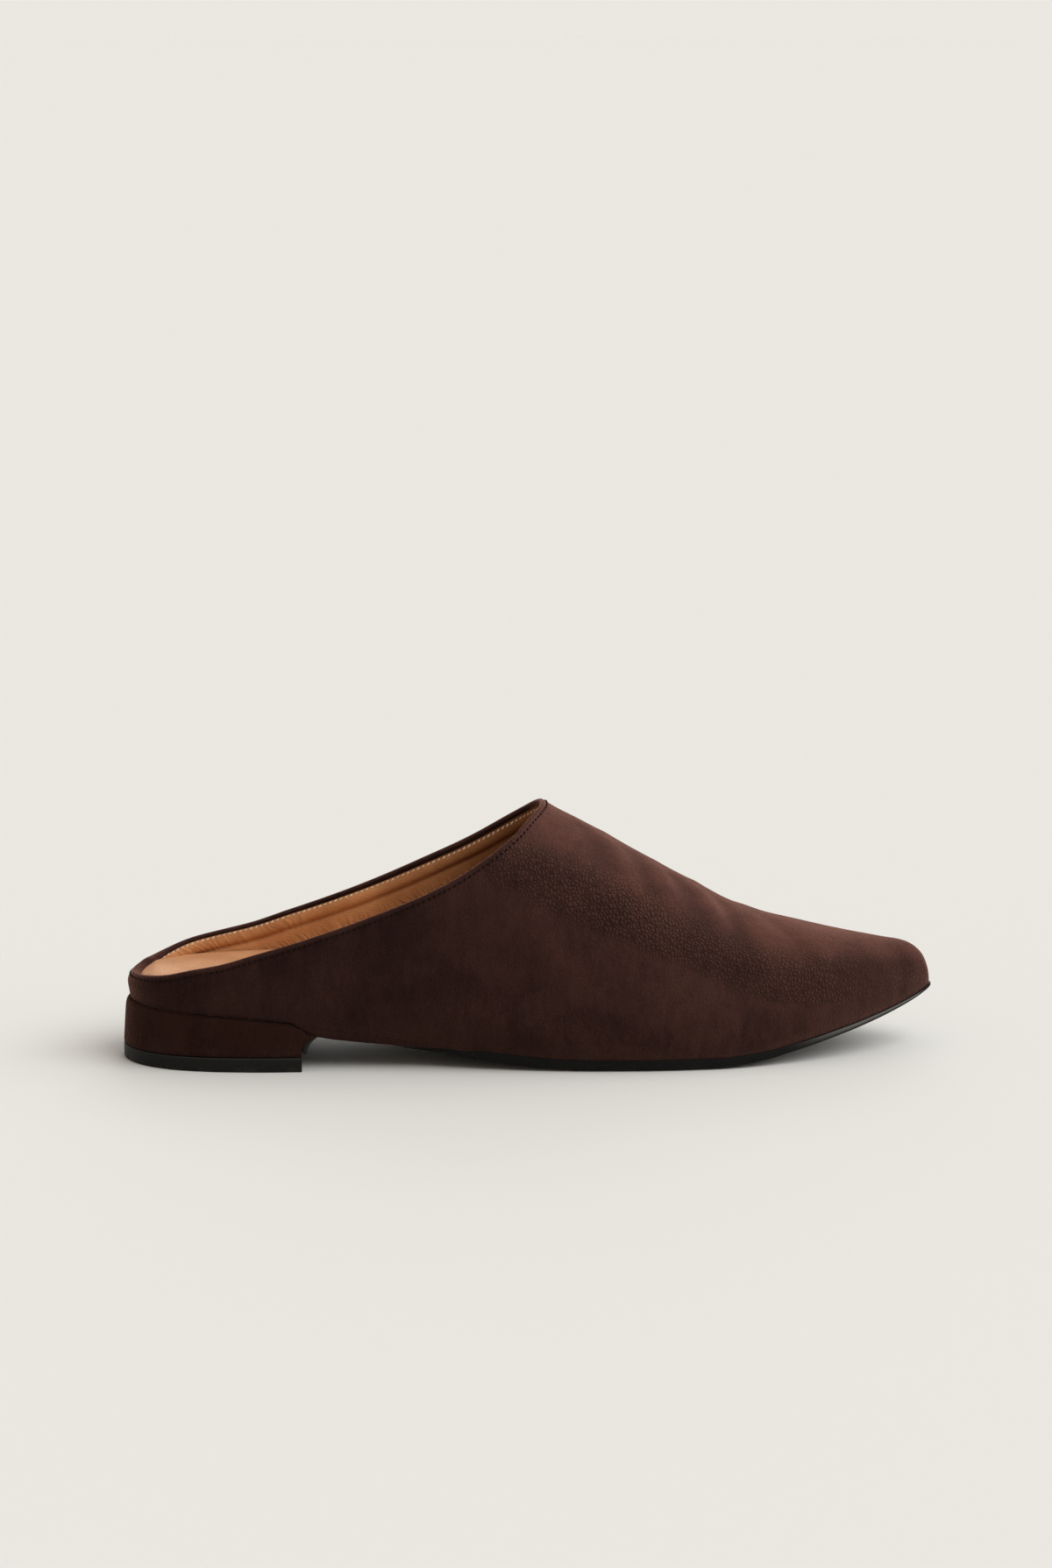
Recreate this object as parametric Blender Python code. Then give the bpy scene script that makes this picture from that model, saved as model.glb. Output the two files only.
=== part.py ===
"""Pointed mule shoe on a low covered heel, for the right foot. Metres, +X to the toe, +Y to the inner side, +Z up.

The origin is on the floor, under the middle of the heel's tread. Every piece is worked out from one last: an
outline in plan, a bottom line seen from the side, a ridge line over the foot and rounded cross-sections.
"""
from bisect import bisect_right
from math import acos, asin, cos, dist, pi, radians, sin

import bmesh
import bpy
import numpy as np

# Overall sizes of the last, from its back to its tip.
last_length = 0.264
heel_width = 0.052
waist_width = 0.0502
ball_width = 0.073
toe_width = 0.0236
instep_depth = 0.0793
toe_depth = 0.0202

# The heel's height above the floor and the toe's above the sole, then the upper's back and the footbed above the
# heel.
heel_height = 0.0213
toe_spring = 0.017
back_wall = 0.008
seat_padding = 0.0077

# Where the throat of the vamp stands, and where the line down from it meets the sole, from the last's back.
throat_distance = 0.136
throat_foot = 0.160

# Thicknesses and clearances.
upper_wall = 0.002
sole_thickness = 0.003
sole_edge = 0.0006
flap_thickness = 0.0016
lift_thickness = 0.0048
lift_round = 0.0004
rim_round = 0.0006
forefoot_padding = 0.005
footbed_dish = 0.0009
footbed_edge = 0.0006
gap = 0.0003

# The heel block and the curve of its front.
heel_length = 0.0555
heel_ledge = 0.0012
heel_flare = 0.0010
breast_radius = 0.006

# How finely the surfaces are cut.
back_columns = 38
front_columns = 24
upper_rows = 13
footbed_rows = 4
footbed_strips = 6
sole_stations = 56
heel_steps = 16
tip_crowding = 1.35
row_crowding = 1.5

# Outline of the bottom. Columns: distance from the back as a share of the length, the width that the row
# follows, and the outer and inner half widths as shares of half that width.
outline_rows = (
    (0.000, heel_width, 0.000, 0.000),
    (0.015, heel_width, 0.435, 0.435),
    (0.038, heel_width, 0.654, 0.654),
    (0.068, heel_width, 0.808, 0.808),
    (0.114, heel_width, 0.923, 0.923),
    (0.170, heel_width, 0.981, 0.969),
    (0.235, heel_width, 1.000, 0.954),
    (0.303, waist_width, 1.052, 0.948),
    (0.371, waist_width, 1.100, 0.964),
    (0.439, ball_width, 0.822, 0.751),
    (0.508, ball_width, 0.888, 0.877),
    (0.576, ball_width, 0.937, 0.986),
    (0.644, ball_width, 0.959, 1.041),
    (0.705, ball_width, 0.942, 1.025),
    (0.765, ball_width, 0.882, 0.953),
    (0.826, ball_width, 0.778, 0.827),
    (0.879, ball_width, 0.641, 0.668),
    (0.924, ball_width, 0.488, 0.499),
    (0.962, toe_width, 1.000, 1.000),
    (0.985, toe_width, 0.593, 0.593),
    (1.000, toe_width, 0.000, 0.000),
)

# Bottom line from the side. Columns: share of the length, share of the heel's rise, share of the toe spring.
bottom_rows = (
    (0.000, 1.000, 0.000),
    (0.057, 0.923, 0.000),
    (0.117, 0.842, 0.000),
    (0.170, 0.754, 0.000),
    (0.208, 0.683, 0.000),
    (0.246, 0.596, 0.000),
    (0.303, 0.448, 0.000),
    (0.367, 0.306, 0.000),
    (0.424, 0.197, 0.000),
    (0.481, 0.082, 0.000),
    (0.538, 0.011, 0.000),
    (0.587, 0.000, 0.000),
    (0.720, 0.000, 0.000),
    (0.769, 0.000, 0.070),
    (0.814, 0.000, 0.224),
    (0.856, 0.000, 0.376),
    (0.902, 0.000, 0.541),
    (0.947, 0.000, 0.729),
    (0.977, 0.000, 0.871),
    (1.000, 0.000, 1.000),
)

# Ridge over the foot. Columns: share of the length, the depth that the row follows, height above the bottom
# line as a share of it, and how far the ridge lies to the inner side as a share of the ball's width.
ridge_rows = (
    (0.000, instep_depth, 1.040, 0.000),
    (0.152, instep_depth, 1.090, 0.007),
    (0.303, instep_depth, 1.170, 0.027),
    (0.417, instep_depth, 1.150, 0.041),
    (0.470, instep_depth, 1.078, 0.047),
    (0.519, instep_depth, 0.985, 0.048),
    (0.568, instep_depth, 0.894, 0.047),
    (0.621, instep_depth, 0.791, 0.044),
    (0.674, instep_depth, 0.689, 0.041),
    (0.727, instep_depth, 0.593, 0.036),
    (0.773, instep_depth, 0.522, 0.030),
    (0.811, toe_depth, 1.797, 0.025),
    (0.856, toe_depth, 1.515, 0.018),
    (0.902, toe_depth, 1.238, 0.011),
    (0.939, toe_depth, 1.010, 0.005),
    (0.970, toe_depth, 0.810, 0.002),
    (0.989, toe_depth, 0.545, 0.001),
    (1.000, toe_depth, 0.000, 0.000),
)

# Cross-sections. Columns: share of the length, how far the side swells past the bottom edge as a share of the
# ball's width, the height of that swelling as a share of the instep, and how full the shoulder is.
section_rows = (
    (0.000, 0.008, 0.060, 0.00),
    (0.114, 0.022, 0.076, 0.00),
    (0.227, 0.041, 0.113, 0.00),
    (0.360, 0.055, 0.164, 0.00),
    (0.492, 0.049, 0.151, 0.00),
    (0.625, 0.041, 0.126, 0.00),
    (0.758, 0.036, 0.101, 0.04),
    (0.890, 0.025, 0.076, 0.12),
    (0.966, 0.014, 0.063, 0.16),
    (1.000, 0.000, 0.050, 0.16),
)

# Back of the upper from the side. Columns: height as a share of the back wall, and how far it leans forward as
# a share of the back wall.
lean_rows = (
    (0.0, 0.000),
    (0.5, -0.090),
    (1.0, 0.075),
    (2.0, 0.375),
    (12.0, 1.500),
)
lean_fade = 20

# Topline. Columns: share of the way to the throat, then the rise on the outer and on the inner side as shares
# of the rise from the back to the throat.
topline_rows = (
    (0.000, 0.000, 0.000),
    (0.074, 0.020, 0.038),
    (0.147, 0.066, 0.086),
    (0.221, 0.108, 0.121),
    (0.294, 0.166, 0.162),
    (0.382, 0.232, 0.239),
    (0.500, 0.330, 0.337),
    (0.625, 0.446, 0.464),
    (0.735, 0.565, 0.591),
    (0.846, 0.728, 0.724),
    (0.919, 0.852, 0.837),
    (0.963, 0.942, 0.915),
    (1.000, 1.000, 1.000),
)

# Top of the footbed. Columns: share of the length, share of the footbed's height at the heel, share of the
# height that the padding gives in front of the heel.
footbed_profile = (
    (0.000, 1.000, 0.000),
    (0.170, 1.000, 0.000),
    (0.227, 0.955, 0.045),
    (0.303, 0.780, 0.220),
    (0.379, 0.540, 0.460),
    (0.455, 0.280, 0.720),
    (0.530, 0.070, 0.930),
    (0.600, 0.000, 1.000),
    (1.000, 0.000, 1.000),
)

# The sole. Columns: share of the length, how far its edge stands in from the bottom outline as a share of the
# waist's width, the extra depth under its middle and its thickness, both as shares of the sole's thickness.
sole_rows = (
    (0.215, 0.030, 0.50, 1.00),
    (0.280, 0.060, 0.50, 1.00),
    (0.350, 0.035, 0.40, 1.00),
    (0.430, 0.000, 0.20, 1.00),
    (0.530, -0.010, 0.00, 1.00),
    (0.740, -0.010, 0.00, 1.00),
    (0.850, -0.004, 0.00, 0.84),
    (0.930, 0.000, 0.00, 0.66),
    (1.000, 0.000, 0.00, 0.42),
)

# The heel block. Columns: share of the way from the lift to the seat, share of the ledge round the seat.
heel_levels = (
    (0.00, 1.00),
    (0.18, 1.00),
    (0.35, 1.00),
    (0.52, 1.00),
    (0.67, 1.00),
    (0.80, 0.98),
    (0.89, 0.88),
    (0.95, 0.62),
    (1.00, 0.10),
)

# The flap ends where the sole runs on forward, after turning through this angle.
flap_end = heel_length + gap + flap_thickness + breast_radius
flap_turn = radians(70)
flap_steps = 6

# Underside of the sole. The square part of its edge as a share of its thickness, the round part as a share too,
# and the camber. Columns: share of the half width, share of the full camber.
square_share = 0.62
round_share = 0.25
camber_rows = ((0.70, 0.55), (0.35, 0.88))

# Materials. Columns: colour and roughness.
materials = {
    "suede": ((0.045, 0.020, 0.015, 1.0), 0.95),
    "tan_leather": ((0.42, 0.21, 0.105, 1.0), 0.6),
    "black_sole": ((0.015, 0.015, 0.014, 1.0), 0.6),
    "heel_cover": ((0.030, 0.014, 0.011, 1.0), 0.95),
    "black_rubber": ((0.015, 0.015, 0.014, 1.0), 0.55),
}


def smooth_curve(places, values):
    """A curve through the rows that never swings past them."""
    step = [b - a for a, b in zip(places, places[1:])]
    slope = [(b - a) / width for a, b, width in zip(values, values[1:], step)]
    tangent = [slope[0]] + [0.0] * (len(slope) - 1) + [slope[-1]]
    for i in range(1, len(slope)):
        if slope[i - 1] * slope[i] > 0:
            before = 2 * step[i] + step[i - 1]
            after = step[i] + 2 * step[i - 1]
            tangent[i] = (before + after) / (before / slope[i - 1] + after / slope[i])

    def curve(x):
        x = min(max(x, places[0]), places[-1])
        i = min(bisect_right(places, x) - 1, len(step) - 1)
        t = (x - places[i]) / step[i]
        start = values[i] * (1 + 2 * t) * (1 - t) ** 2 + step[i] * tangent[i] * t * (1 - t) ** 2
        end = values[i + 1] * t * t * (3 - 2 * t) + step[i] * tangent[i + 1] * t * t * (t - 1)
        return start + end

    return curve


def column(rows, index):
    return [row[index] for row in rows]


outer_side = -1
inner_side = 1

outline_at = column(outline_rows, 0)
half_width_squared = {
    outer_side: smooth_curve(outline_at, [(row[1] / 2 * row[2]) ** 2 for row in outline_rows]),
    inner_side: smooth_curve(outline_at, [(row[1] / 2 * row[3]) ** 2 for row in outline_rows]),
}
heel_share = smooth_curve(column(bottom_rows, 0), column(bottom_rows, 1))
toe_share = smooth_curve(column(bottom_rows, 0), column(bottom_rows, 2))
ridge_squared = smooth_curve(column(ridge_rows, 0), [(row[1] * row[2]) ** 2 for row in ridge_rows])
ridge_shift = smooth_curve(column(ridge_rows, 0), [ball_width * row[3] for row in ridge_rows])
swell = smooth_curve(column(section_rows, 0), [ball_width * row[1] for row in section_rows])
swell_height = smooth_curve(column(section_rows, 0), [instep_depth * row[2] for row in section_rows])
shoulder = smooth_curve(column(section_rows, 0), column(section_rows, 3))
lean_share = smooth_curve(column(lean_rows, 0), column(lean_rows, 1))
topline_rise = {
    outer_side: smooth_curve(column(topline_rows, 0), column(topline_rows, 1)),
    inner_side: smooth_curve(column(topline_rows, 0), column(topline_rows, 2)),
}
footbed_heel = smooth_curve(column(footbed_profile, 0), column(footbed_profile, 1))
footbed_front = smooth_curve(column(footbed_profile, 0), column(footbed_profile, 2))
sole_inset = smooth_curve(column(sole_rows, 0), [waist_width * row[1] for row in sole_rows])
sole_camber = smooth_curve(column(sole_rows, 0), [sole_thickness * row[2] for row in sole_rows])
sole_depth = smooth_curve(column(sole_rows, 0), [sole_thickness * row[3] for row in sole_rows])


def half_width(share, side):
    return max(half_width_squared[side](share), 0.0) ** 0.5


def bottom_height(share):
    """Height above the floor of the line where the upper meets the sole and the heel."""
    return sole_thickness + (heel_height - sole_thickness) * heel_share(share) + toe_spring * toe_share(share)


def ridge_depth(share):
    return max(ridge_squared(share), 0.0) ** 0.5


def tuck(share, rise):
    """How far the side is still drawn in at this rise: 1 at the bottom edge, 0 where it is at its widest."""
    depth = max(min(swell_height(share), ridge_depth(share)), 1e-6)
    return 1 - min(rise / depth, 1.0)


def last_point(share, turn, side):
    """A point on the outside of the upper. turn goes from 0 at the bottom edge to a quarter turn at the ridge."""
    rise = ridge_depth(share) * sin(turn)
    edge = half_width(share, side)
    roundness = min(1.0, edge / (heel_width / 4))
    widest = swell(share) * roundness
    middle = ridge_shift(share)
    across = cos(turn) * (1 + shoulder(share) * sin(turn) ** 2)
    y = middle + ((edge + widest) * side - middle) * across
    y -= side * widest * tuck(share, rise) ** 2
    x = share * last_length + back_wall * lean_share(rise / back_wall) * (1 - share) ** lean_fade
    return np.array((x, y, bottom_height(share) + rise))


def station_share(turn):
    """Stations lie close together at the back and at the tip, where the last closes round."""
    return (1 - cos(pi * turn)) / 2


def inward(station, turn, side):
    """The unit normal that points into the shoe."""
    tiny = 1e-4

    def at(s, t):
        if s < 0:
            return last_point(station_share(-s), t, -side)
        if s > 1:
            return last_point(station_share(2 - s), t, -side)
        if t > pi / 2:
            return last_point(station_share(s), pi - t, -side)
        return last_point(station_share(s), t, side)

    along = at(station + tiny, turn) - at(station - tiny, turn)
    low = max(turn - tiny, 0.0)
    up = at(station, turn + tiny) - at(station, low)
    normal = np.cross(along, up) * side
    return normal / np.linalg.norm(normal)


def wall_point(station, turn, side, depth):
    """A point this deep inside the outer surface. At the bottom edge the wall is measured level."""
    share = station_share(station)
    point = last_point(share, turn, side)
    if depth == 0:
        return point
    at_tip = station > 1 - 1e-6
    normal = np.array((-1.0, 0.0, 0.0)) if at_tip else inward(station, turn, side)
    low = tuck(share, point[2] - bottom_height(share))
    normal[2] *= 1 - low
    normal *= depth / np.linalg.norm(normal)
    slope = bottom_height((point[0] + normal[0]) / last_length) - bottom_height(point[0] / last_length)
    normal[2] += slope * low
    return point + normal


def topline_height(x, side):
    back = heel_height + back_wall
    throat = bottom_height(throat_distance / last_length) + ridge_depth(throat_distance / last_length)
    return back + (throat - back) * topline_rise[side](x / throat_distance)


def footbed_top(x):
    share = x / last_length
    front = bottom_height(share) + forefoot_padding
    return (heel_height + seat_padding) * footbed_heel(share) + front * footbed_front(share)


def solve(reached):
    """The lowest value from 0 to 1 at which the test comes true."""
    low, high = 0.0, 1.0
    for _ in range(26):
        middle = (low + high) / 2
        if reached(middle):
            high = middle
        else:
            low = middle
    return high


def topline_turn(station, side):
    share = station_share(station)
    height = topline_height(share * last_length, side)
    return pi / 2 * solve(lambda t: last_point(share, pi / 2 * t, side)[2] >= height)


def station_of(distance):
    return acos(1 - 2 * distance / last_length) / pi


def even_steps(place, count, crowding=1.0):
    """Values from 0 to 1 that lie at even distances along a curve, or crowd towards its end."""
    fine = 120
    points = [place(i / fine) for i in range(fine + 1)]
    lengths = [0.0]
    for a, b in zip(points, points[1:]):
        lengths.append(lengths[-1] + dist(a, b))
    wanted = [lengths[-1] * (1 - (1 - i / count) ** crowding) for i in range(count + 1)]
    return [float(v) for v in np.interp(wanted, lengths, [i / fine for i in range(fine + 1)])]


def columns(side):
    """Lines up one side of the last, each as the station of its foot and the station and turn of its top.

    Up to the throat the tops lie on the topline, and from there to the tip on the ridge.
    """
    throat = station_of(throat_distance)
    foot = station_of(throat_foot)

    def open_station(v):
        return throat * sin(pi / 2 * v)

    def rim(v):
        station = open_station(v)
        return last_point(station_share(station), topline_turn(station, side), side)

    def ridge(v):
        return last_point(station_share(throat + (1 - throat) * v), pi / 2, side)

    def bottom(v):
        return last_point(station_share(foot * v), 0, side)

    def front_bottom(v):
        return last_point(station_share(foot + (1 - foot) * v), 0, side)

    found = []
    for top, low in zip(even_steps(rim, back_columns)[:-1], even_steps(bottom, back_columns)):
        found.append((foot * low, open_station(top), topline_turn(open_station(top), side)))
    tops = even_steps(ridge, front_columns, tip_crowding)
    for top, low in zip(tops, even_steps(front_bottom, front_columns, tip_crowding)):
        found.append((foot + (1 - foot) * low, throat + (1 - throat) * top, pi / 2))
    return found


def column_point(line, rise, side, depth):
    """A point on one of the lines, this share of the way up it and this deep in the wall."""
    foot, top, turn = line
    return wall_point(foot + (top - foot) * rise, turn * rise, side, depth)


def new_piece(name, points, faces, material):
    mesh = bpy.data.meshes.new(name)
    work = bmesh.new()
    corners = [work.verts.new(p) for p in points]
    for face in faces:
        work.faces.new([corners[i] for i in face])
    bmesh.ops.remove_doubles(work, verts=work.verts, dist=2e-6)
    bmesh.ops.recalc_face_normals(work, faces=work.faces)
    if work.calc_volume(signed=True) < 0:
        bmesh.ops.reverse_faces(work, faces=work.faces)
    work.to_mesh(mesh)
    work.free()
    mesh.shade_smooth()
    mesh.set_sharp_from_angle(angle=radians(40))
    mesh.materials.append(material)
    piece = bpy.data.objects.new(name, mesh)
    bpy.context.scene.collection.objects.link(piece)
    # The last is measured from its back, and the shoe from the middle of its heel.
    piece.location.x = -(heel_length - heel_ledge - heel_flare) / 2
    return piece


class Sheet:
    """Collects points and faces for one piece."""

    def __init__(self):
        self.points = []
        self.faces = []

    def add(self, point):
        self.points.append(tuple(point))
        return len(self.points) - 1

    def strip(self, first, second):
        """Quads between two rows of the same length."""
        for a, b, c, d in zip(first, first[1:], second[1:], second):
            self.faces.append((a, b, c, d))


def skin(sheet, lines, rises, rows, side, depth, soft_edge=0.0):
    """One side of a surface: a row of points up each line, as far as its rise."""
    grid = []
    for line, rise in zip(lines, rises):
        row = []
        for j in range(rows + 1):
            # Rows lie closer together near the bottom edge, where the side swells.
            set_in = soft_edge if j == rows and rise < 1 else 0.0
            row.append(sheet.add(column_point(line, rise * (j / rows) ** row_crowding, side, depth + set_in)))
        grid.append(row)
    for first, second in zip(grid, grid[1:]):
        sheet.strip(first, second)
    return grid


def build_upper(material):
    """One hollow wall, open at the back and the collar and underneath."""
    sheet = Sheet()
    for side in (outer_side, inner_side):
        lines = columns(side)
        whole = [1.0] * len(lines)
        outside = skin(sheet, lines, whole, upper_rows, side, 0)
        inside = skin(sheet, lines, whole, upper_rows, side, upper_wall)
        # The bottom edge, and the rim, which is rounded by one raised row.
        sheet.strip([row[0] for row in outside], [row[0] for row in inside])
        out_rim = [row[-1] for row in outside[: back_columns + 1]]
        in_rim = [row[-1] for row in inside[: back_columns + 1]]
        crown = []
        for i in range(back_columns + 1):
            out_top = np.array(sheet.points[out_rim[i]])
            in_top = np.array(sheet.points[in_rim[i]])
            along = np.array(sheet.points[out_rim[min(i + 1, back_columns)]])
            along -= np.array(sheet.points[out_rim[max(i - 1, 0)]])
            if i in (0, back_columns):
                # Both sides meet here, so the rim runs straight across.
                along = np.array((0.0, 1.0, 0.0))
            up = np.cross(along, in_top - out_top)
            up *= rim_round / np.linalg.norm(up) * (1 if up[2] > 0 else -1)
            crown.append(sheet.add((out_top + in_top) / 2 + up))
        sheet.strip(out_rim, crown)
        sheet.strip(crown, in_rim)
    return new_piece("upper", sheet.points, sheet.faces, material)


def build_insole(material):
    """The padded footbed: a wedge that fills the seat, follows the wall all round and thins to the toe."""
    depth = upper_wall + gap
    sheet = Sheet()
    edges = []
    for side in (outer_side, inner_side):
        rises = []
        lines = columns(side)
        for line in lines:

            def covered(rise, line=line, side=side):
                point = column_point(line, rise, side, depth)
                return point[2] >= footbed_top(point[0])

            rises.append(solve(covered))
        # Where the ridge is lower than the footbed's top, the two sides meet on it.
        rises = [1.0 if rise > 0.999 else rise for rise in rises]
        edges.append(skin(sheet, lines, rises, footbed_rows, side, depth, footbed_edge))
    end = next(i for i in range(back_columns, len(rises)) if rises[i] == 1.0)
    top_rows = []
    for left_row, right_row in zip(edges[0][: end + 1], edges[1]):
        left = np.array(sheet.points[left_row[-1]])
        right = np.array(sheet.points[right_row[-1]])
        row = [left_row[-1]]
        for j in range(1, footbed_strips):
            t = j / footbed_strips
            point = left + (right - left) * t
            point[2] -= footbed_dish * sin(pi * t) * min(1.0, (right[1] - left[1]) / heel_width)
            row.append(sheet.add(point))
        top_rows.append(row + [right_row[-1]])
    for first, second in zip(top_rows, top_rows[1:]):
        sheet.strip(first, second)
    sheet.strip([row[0] for row in edges[0]], [row[0] for row in edges[1]])
    return new_piece("insole", sheet.points, sheet.faces, material)


def breast_point(angle):
    """The side of the flap that faces the heel, from the floor side up."""
    centre_z = lift_thickness + gap
    radius_x = breast_radius + flap_thickness
    top = bottom_height((flap_end - radius_x * cos(flap_turn)) / last_length) - gap
    radius_z = (top - centre_z) / sin(flap_turn)
    return flap_end - radius_x * cos(angle), centre_z + radius_z * sin(angle)


def sole_section(sheet, top, bottom, share, camber):
    """A ring of points across the sole: flat on top, with rounded lower edges and a little camber."""
    (top_x, top_z), (bottom_x, bottom_z) = top, bottom

    def at(y, t, drop=0.0):
        return sheet.add((top_x + (bottom_x - top_x) * t, y, top_z + (bottom_z - top_z) * t - drop))

    halves = []
    for side in (outer_side, inner_side):
        edge = sole_half_width(share, side)
        lower = edge - min(sole_thickness, edge) * round_share
        half = [at(edge * side, 0), at(edge * side, square_share), at(lower * side, 1)]
        halves.append(half + [at(edge * t * side, 1, camber * drop) for t, drop in camber_rows])
    return halves[0] + [at(0, 1, camber)] + halves[1][::-1]


def sole_half_width(share, side):
    """The sole's own outline: a little longer than the last, proud of it in front and narrow at the waist."""
    stretched = share * last_length / (last_length + sole_edge)
    edge = half_width(stretched, side)
    return max(edge - sole_inset(share) * min(1.0, edge / (heel_width / 4)), 0.0)


def build_outsole(material):
    """A thin sole under the forepart and waist, which turns down over the heel's front as a flap."""
    sheet = Sheet()
    rings = []
    for i in range(flap_steps + 1):
        angle = flap_turn * i / flap_steps
        top = breast_point(angle)
        steep = pi / 2 * i / flap_steps
        underside = bottom_height(flap_end / last_length) - sole_thickness
        low_z = lift_thickness + gap
        bottom = (
            flap_end - breast_radius * cos(steep),
            low_z + (underside - low_z) * sin(steep),
        )
        share = top[0] / last_length
        rings.append(sole_section(sheet, top, bottom, share, sole_camber(share) * sin(steep) ** 2))
    end = (last_length + sole_edge) / last_length
    first = station_of(flap_end / end)
    for i in range(1, sole_stations + 1):
        share = station_share(first + (1 - first) * i / sole_stations) * end
        top = (share * last_length, bottom_height(share) - gap)
        bottom = (share * last_length, bottom_height(share) - sole_depth(share))
        rings.append(sole_section(sheet, top, bottom, share, sole_camber(share)))
    for first_ring, second_ring in zip(rings, rings[1:]):
        sheet.strip(first_ring + first_ring[:1], second_ring + second_ring[:1])
    sheet.faces.append(tuple(rings[0]))
    return new_piece("outsole", sheet.points, sheet.faces, material)


def heel_ring(sheet, height, outset, front):
    """A U-shaped ring of the heel. height gives z for a place, and front is where its front edge stands."""
    rings = {}
    back = -outset
    for side in (outer_side, inner_side):
        row = []
        for i in range(heel_steps + 1):
            x = back + (front - back) * (1 - cos(pi / 2 * i / heel_steps))
            share = (x - back) / (front - back) * front / last_length
            edge = half_width(share, side)
            y = edge * (1 + outset / (heel_width / 2)) * side
            row.append(sheet.add((x, y, height(x))))
        rings[side] = row
    return rings


def close_heel(sheet, levels):
    for low, high in zip(levels, levels[1:]):
        for side in (outer_side, inner_side):
            sheet.strip(low[side], high[side])
        fronts = [low[outer_side][-1], low[inner_side][-1], high[inner_side][-1], high[outer_side][-1]]
        sheet.faces.append(tuple(fronts))
    for level in (levels[0], levels[-1]):
        sheet.strip(level[outer_side], level[inner_side])


def build_heel(material):
    """The covered heel block: a ledge round the seat, a slight flare to the floor and a hollowed front."""
    sheet = Sheet()
    levels = []
    for risen, edge in heel_levels:
        # The flap leans over the heel's front, so level clearance grows on the way up.
        front = breast_point(asin(risen * sin(flap_turn)))[0] - gap * (1 + risen)

        def height(x, risen=risen):
            floor_side = lift_thickness + gap
            seat = bottom_height(x / last_length) - gap
            return floor_side + (seat - floor_side) * risen

        levels.append(heel_ring(sheet, height, heel_ledge * edge + heel_flare * (1 - risen), front))
    close_heel(sheet, levels)
    return new_piece("heel", sheet.points, sheet.faces, material)


def build_lift(material):
    """The rubber top piece that the heel stands on."""
    sheet = Sheet()
    outset = heel_ledge + heel_flare
    levels = [
        heel_ring(sheet, lambda x: 0.0, outset - lift_round, heel_length),
        heel_ring(sheet, lambda x: lift_round, outset, heel_length),
        heel_ring(sheet, lambda x: lift_thickness, outset, heel_length),
    ]
    close_heel(sheet, levels)
    return new_piece("heel_lift", sheet.points, sheet.faces, material)


def finish(name):
    colour, roughness = materials[name]
    material = bpy.data.materials.new(name)
    material.use_nodes = True
    shader = material.node_tree.nodes["Principled BSDF"]
    shader.inputs["Base Color"].default_value = colour
    shader.inputs["Roughness"].default_value = roughness
    return material


def main():
    for old in list(bpy.data.objects):
        bpy.data.objects.remove(old)
    build_upper(finish("suede"))
    build_insole(finish("tan_leather"))
    build_outsole(finish("black_sole"))
    build_heel(finish("heel_cover"))
    build_lift(finish("black_rubber"))


main()
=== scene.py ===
from math import acos, pi, radians, sin

import bmesh
import bpy
import numpy as np
from mathutils import Matrix, Vector


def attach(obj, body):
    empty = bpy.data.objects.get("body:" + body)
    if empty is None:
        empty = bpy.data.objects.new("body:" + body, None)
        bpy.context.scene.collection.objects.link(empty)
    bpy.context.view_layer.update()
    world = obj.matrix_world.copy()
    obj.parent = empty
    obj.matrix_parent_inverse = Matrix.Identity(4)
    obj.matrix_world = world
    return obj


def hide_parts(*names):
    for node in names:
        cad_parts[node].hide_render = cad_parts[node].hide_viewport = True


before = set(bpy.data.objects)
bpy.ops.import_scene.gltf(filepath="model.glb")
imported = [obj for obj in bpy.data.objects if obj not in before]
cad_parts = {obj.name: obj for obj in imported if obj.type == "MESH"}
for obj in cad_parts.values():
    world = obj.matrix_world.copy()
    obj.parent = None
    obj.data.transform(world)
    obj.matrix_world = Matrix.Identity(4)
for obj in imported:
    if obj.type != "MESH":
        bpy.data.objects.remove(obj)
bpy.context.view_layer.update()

# Lengths are metres. The last runs along x, its outer side is -y, its inner side +y.
outer, inner = -1, 1

# the shoe's own sizes, the same as in the solids
last = dict(
    length=0.264, heelWidth=0.052, waistWidth=0.0502, ballWidth=0.073, toeWidth=0.0236,
    instepDepth=0.0793, toeDepth=0.0202, heelHeight=0.0213, toeSpring=0.017,
    backWall=0.008, seatPadding=0.0077, forefootPadding=0.005, throatDistance=0.136, throatFoot=0.160,
    wall=0.002, soleThickness=0.003, soleEdge=0.0006, gap=0.0003,
    heelLength=0.0555, heelLedge=0.0012, heelFlare=0.0010, liftThickness=0.0048,
    flapThickness=0.0016, breastRadius=0.006, flapTurn=radians(70), leanFade=20,
)
originX = (last["heelLength"] - last["heelLedge"] - last["heelFlare"]) / 2

# for each named width: share of the length, outer and inner half widths as shares of half of it
outlineRows = (
    ("heelWidth", (0, 0, 0), (0.015, 0.435, 0.435), (0.038, 0.654, 0.654), (0.068, 0.808, 0.808),
     (0.114, 0.923, 0.923), (0.17, 0.981, 0.969), (0.235, 1, 0.954)),
    ("waistWidth", (0.303, 1.052, 0.948), (0.371, 1.1, 0.964)),
    ("ballWidth", (0.439, 0.822, 0.751), (0.508, 0.888, 0.877), (0.576, 0.937, 0.986), (0.644, 0.959, 1.041),
     (0.705, 0.942, 1.025), (0.765, 0.882, 0.953), (0.826, 0.778, 0.827), (0.879, 0.641, 0.668),
     (0.924, 0.488, 0.499)),
    ("toeWidth", (0.962, 1, 1), (0.985, 0.593, 0.593), (1, 0, 0)),
)
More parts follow.
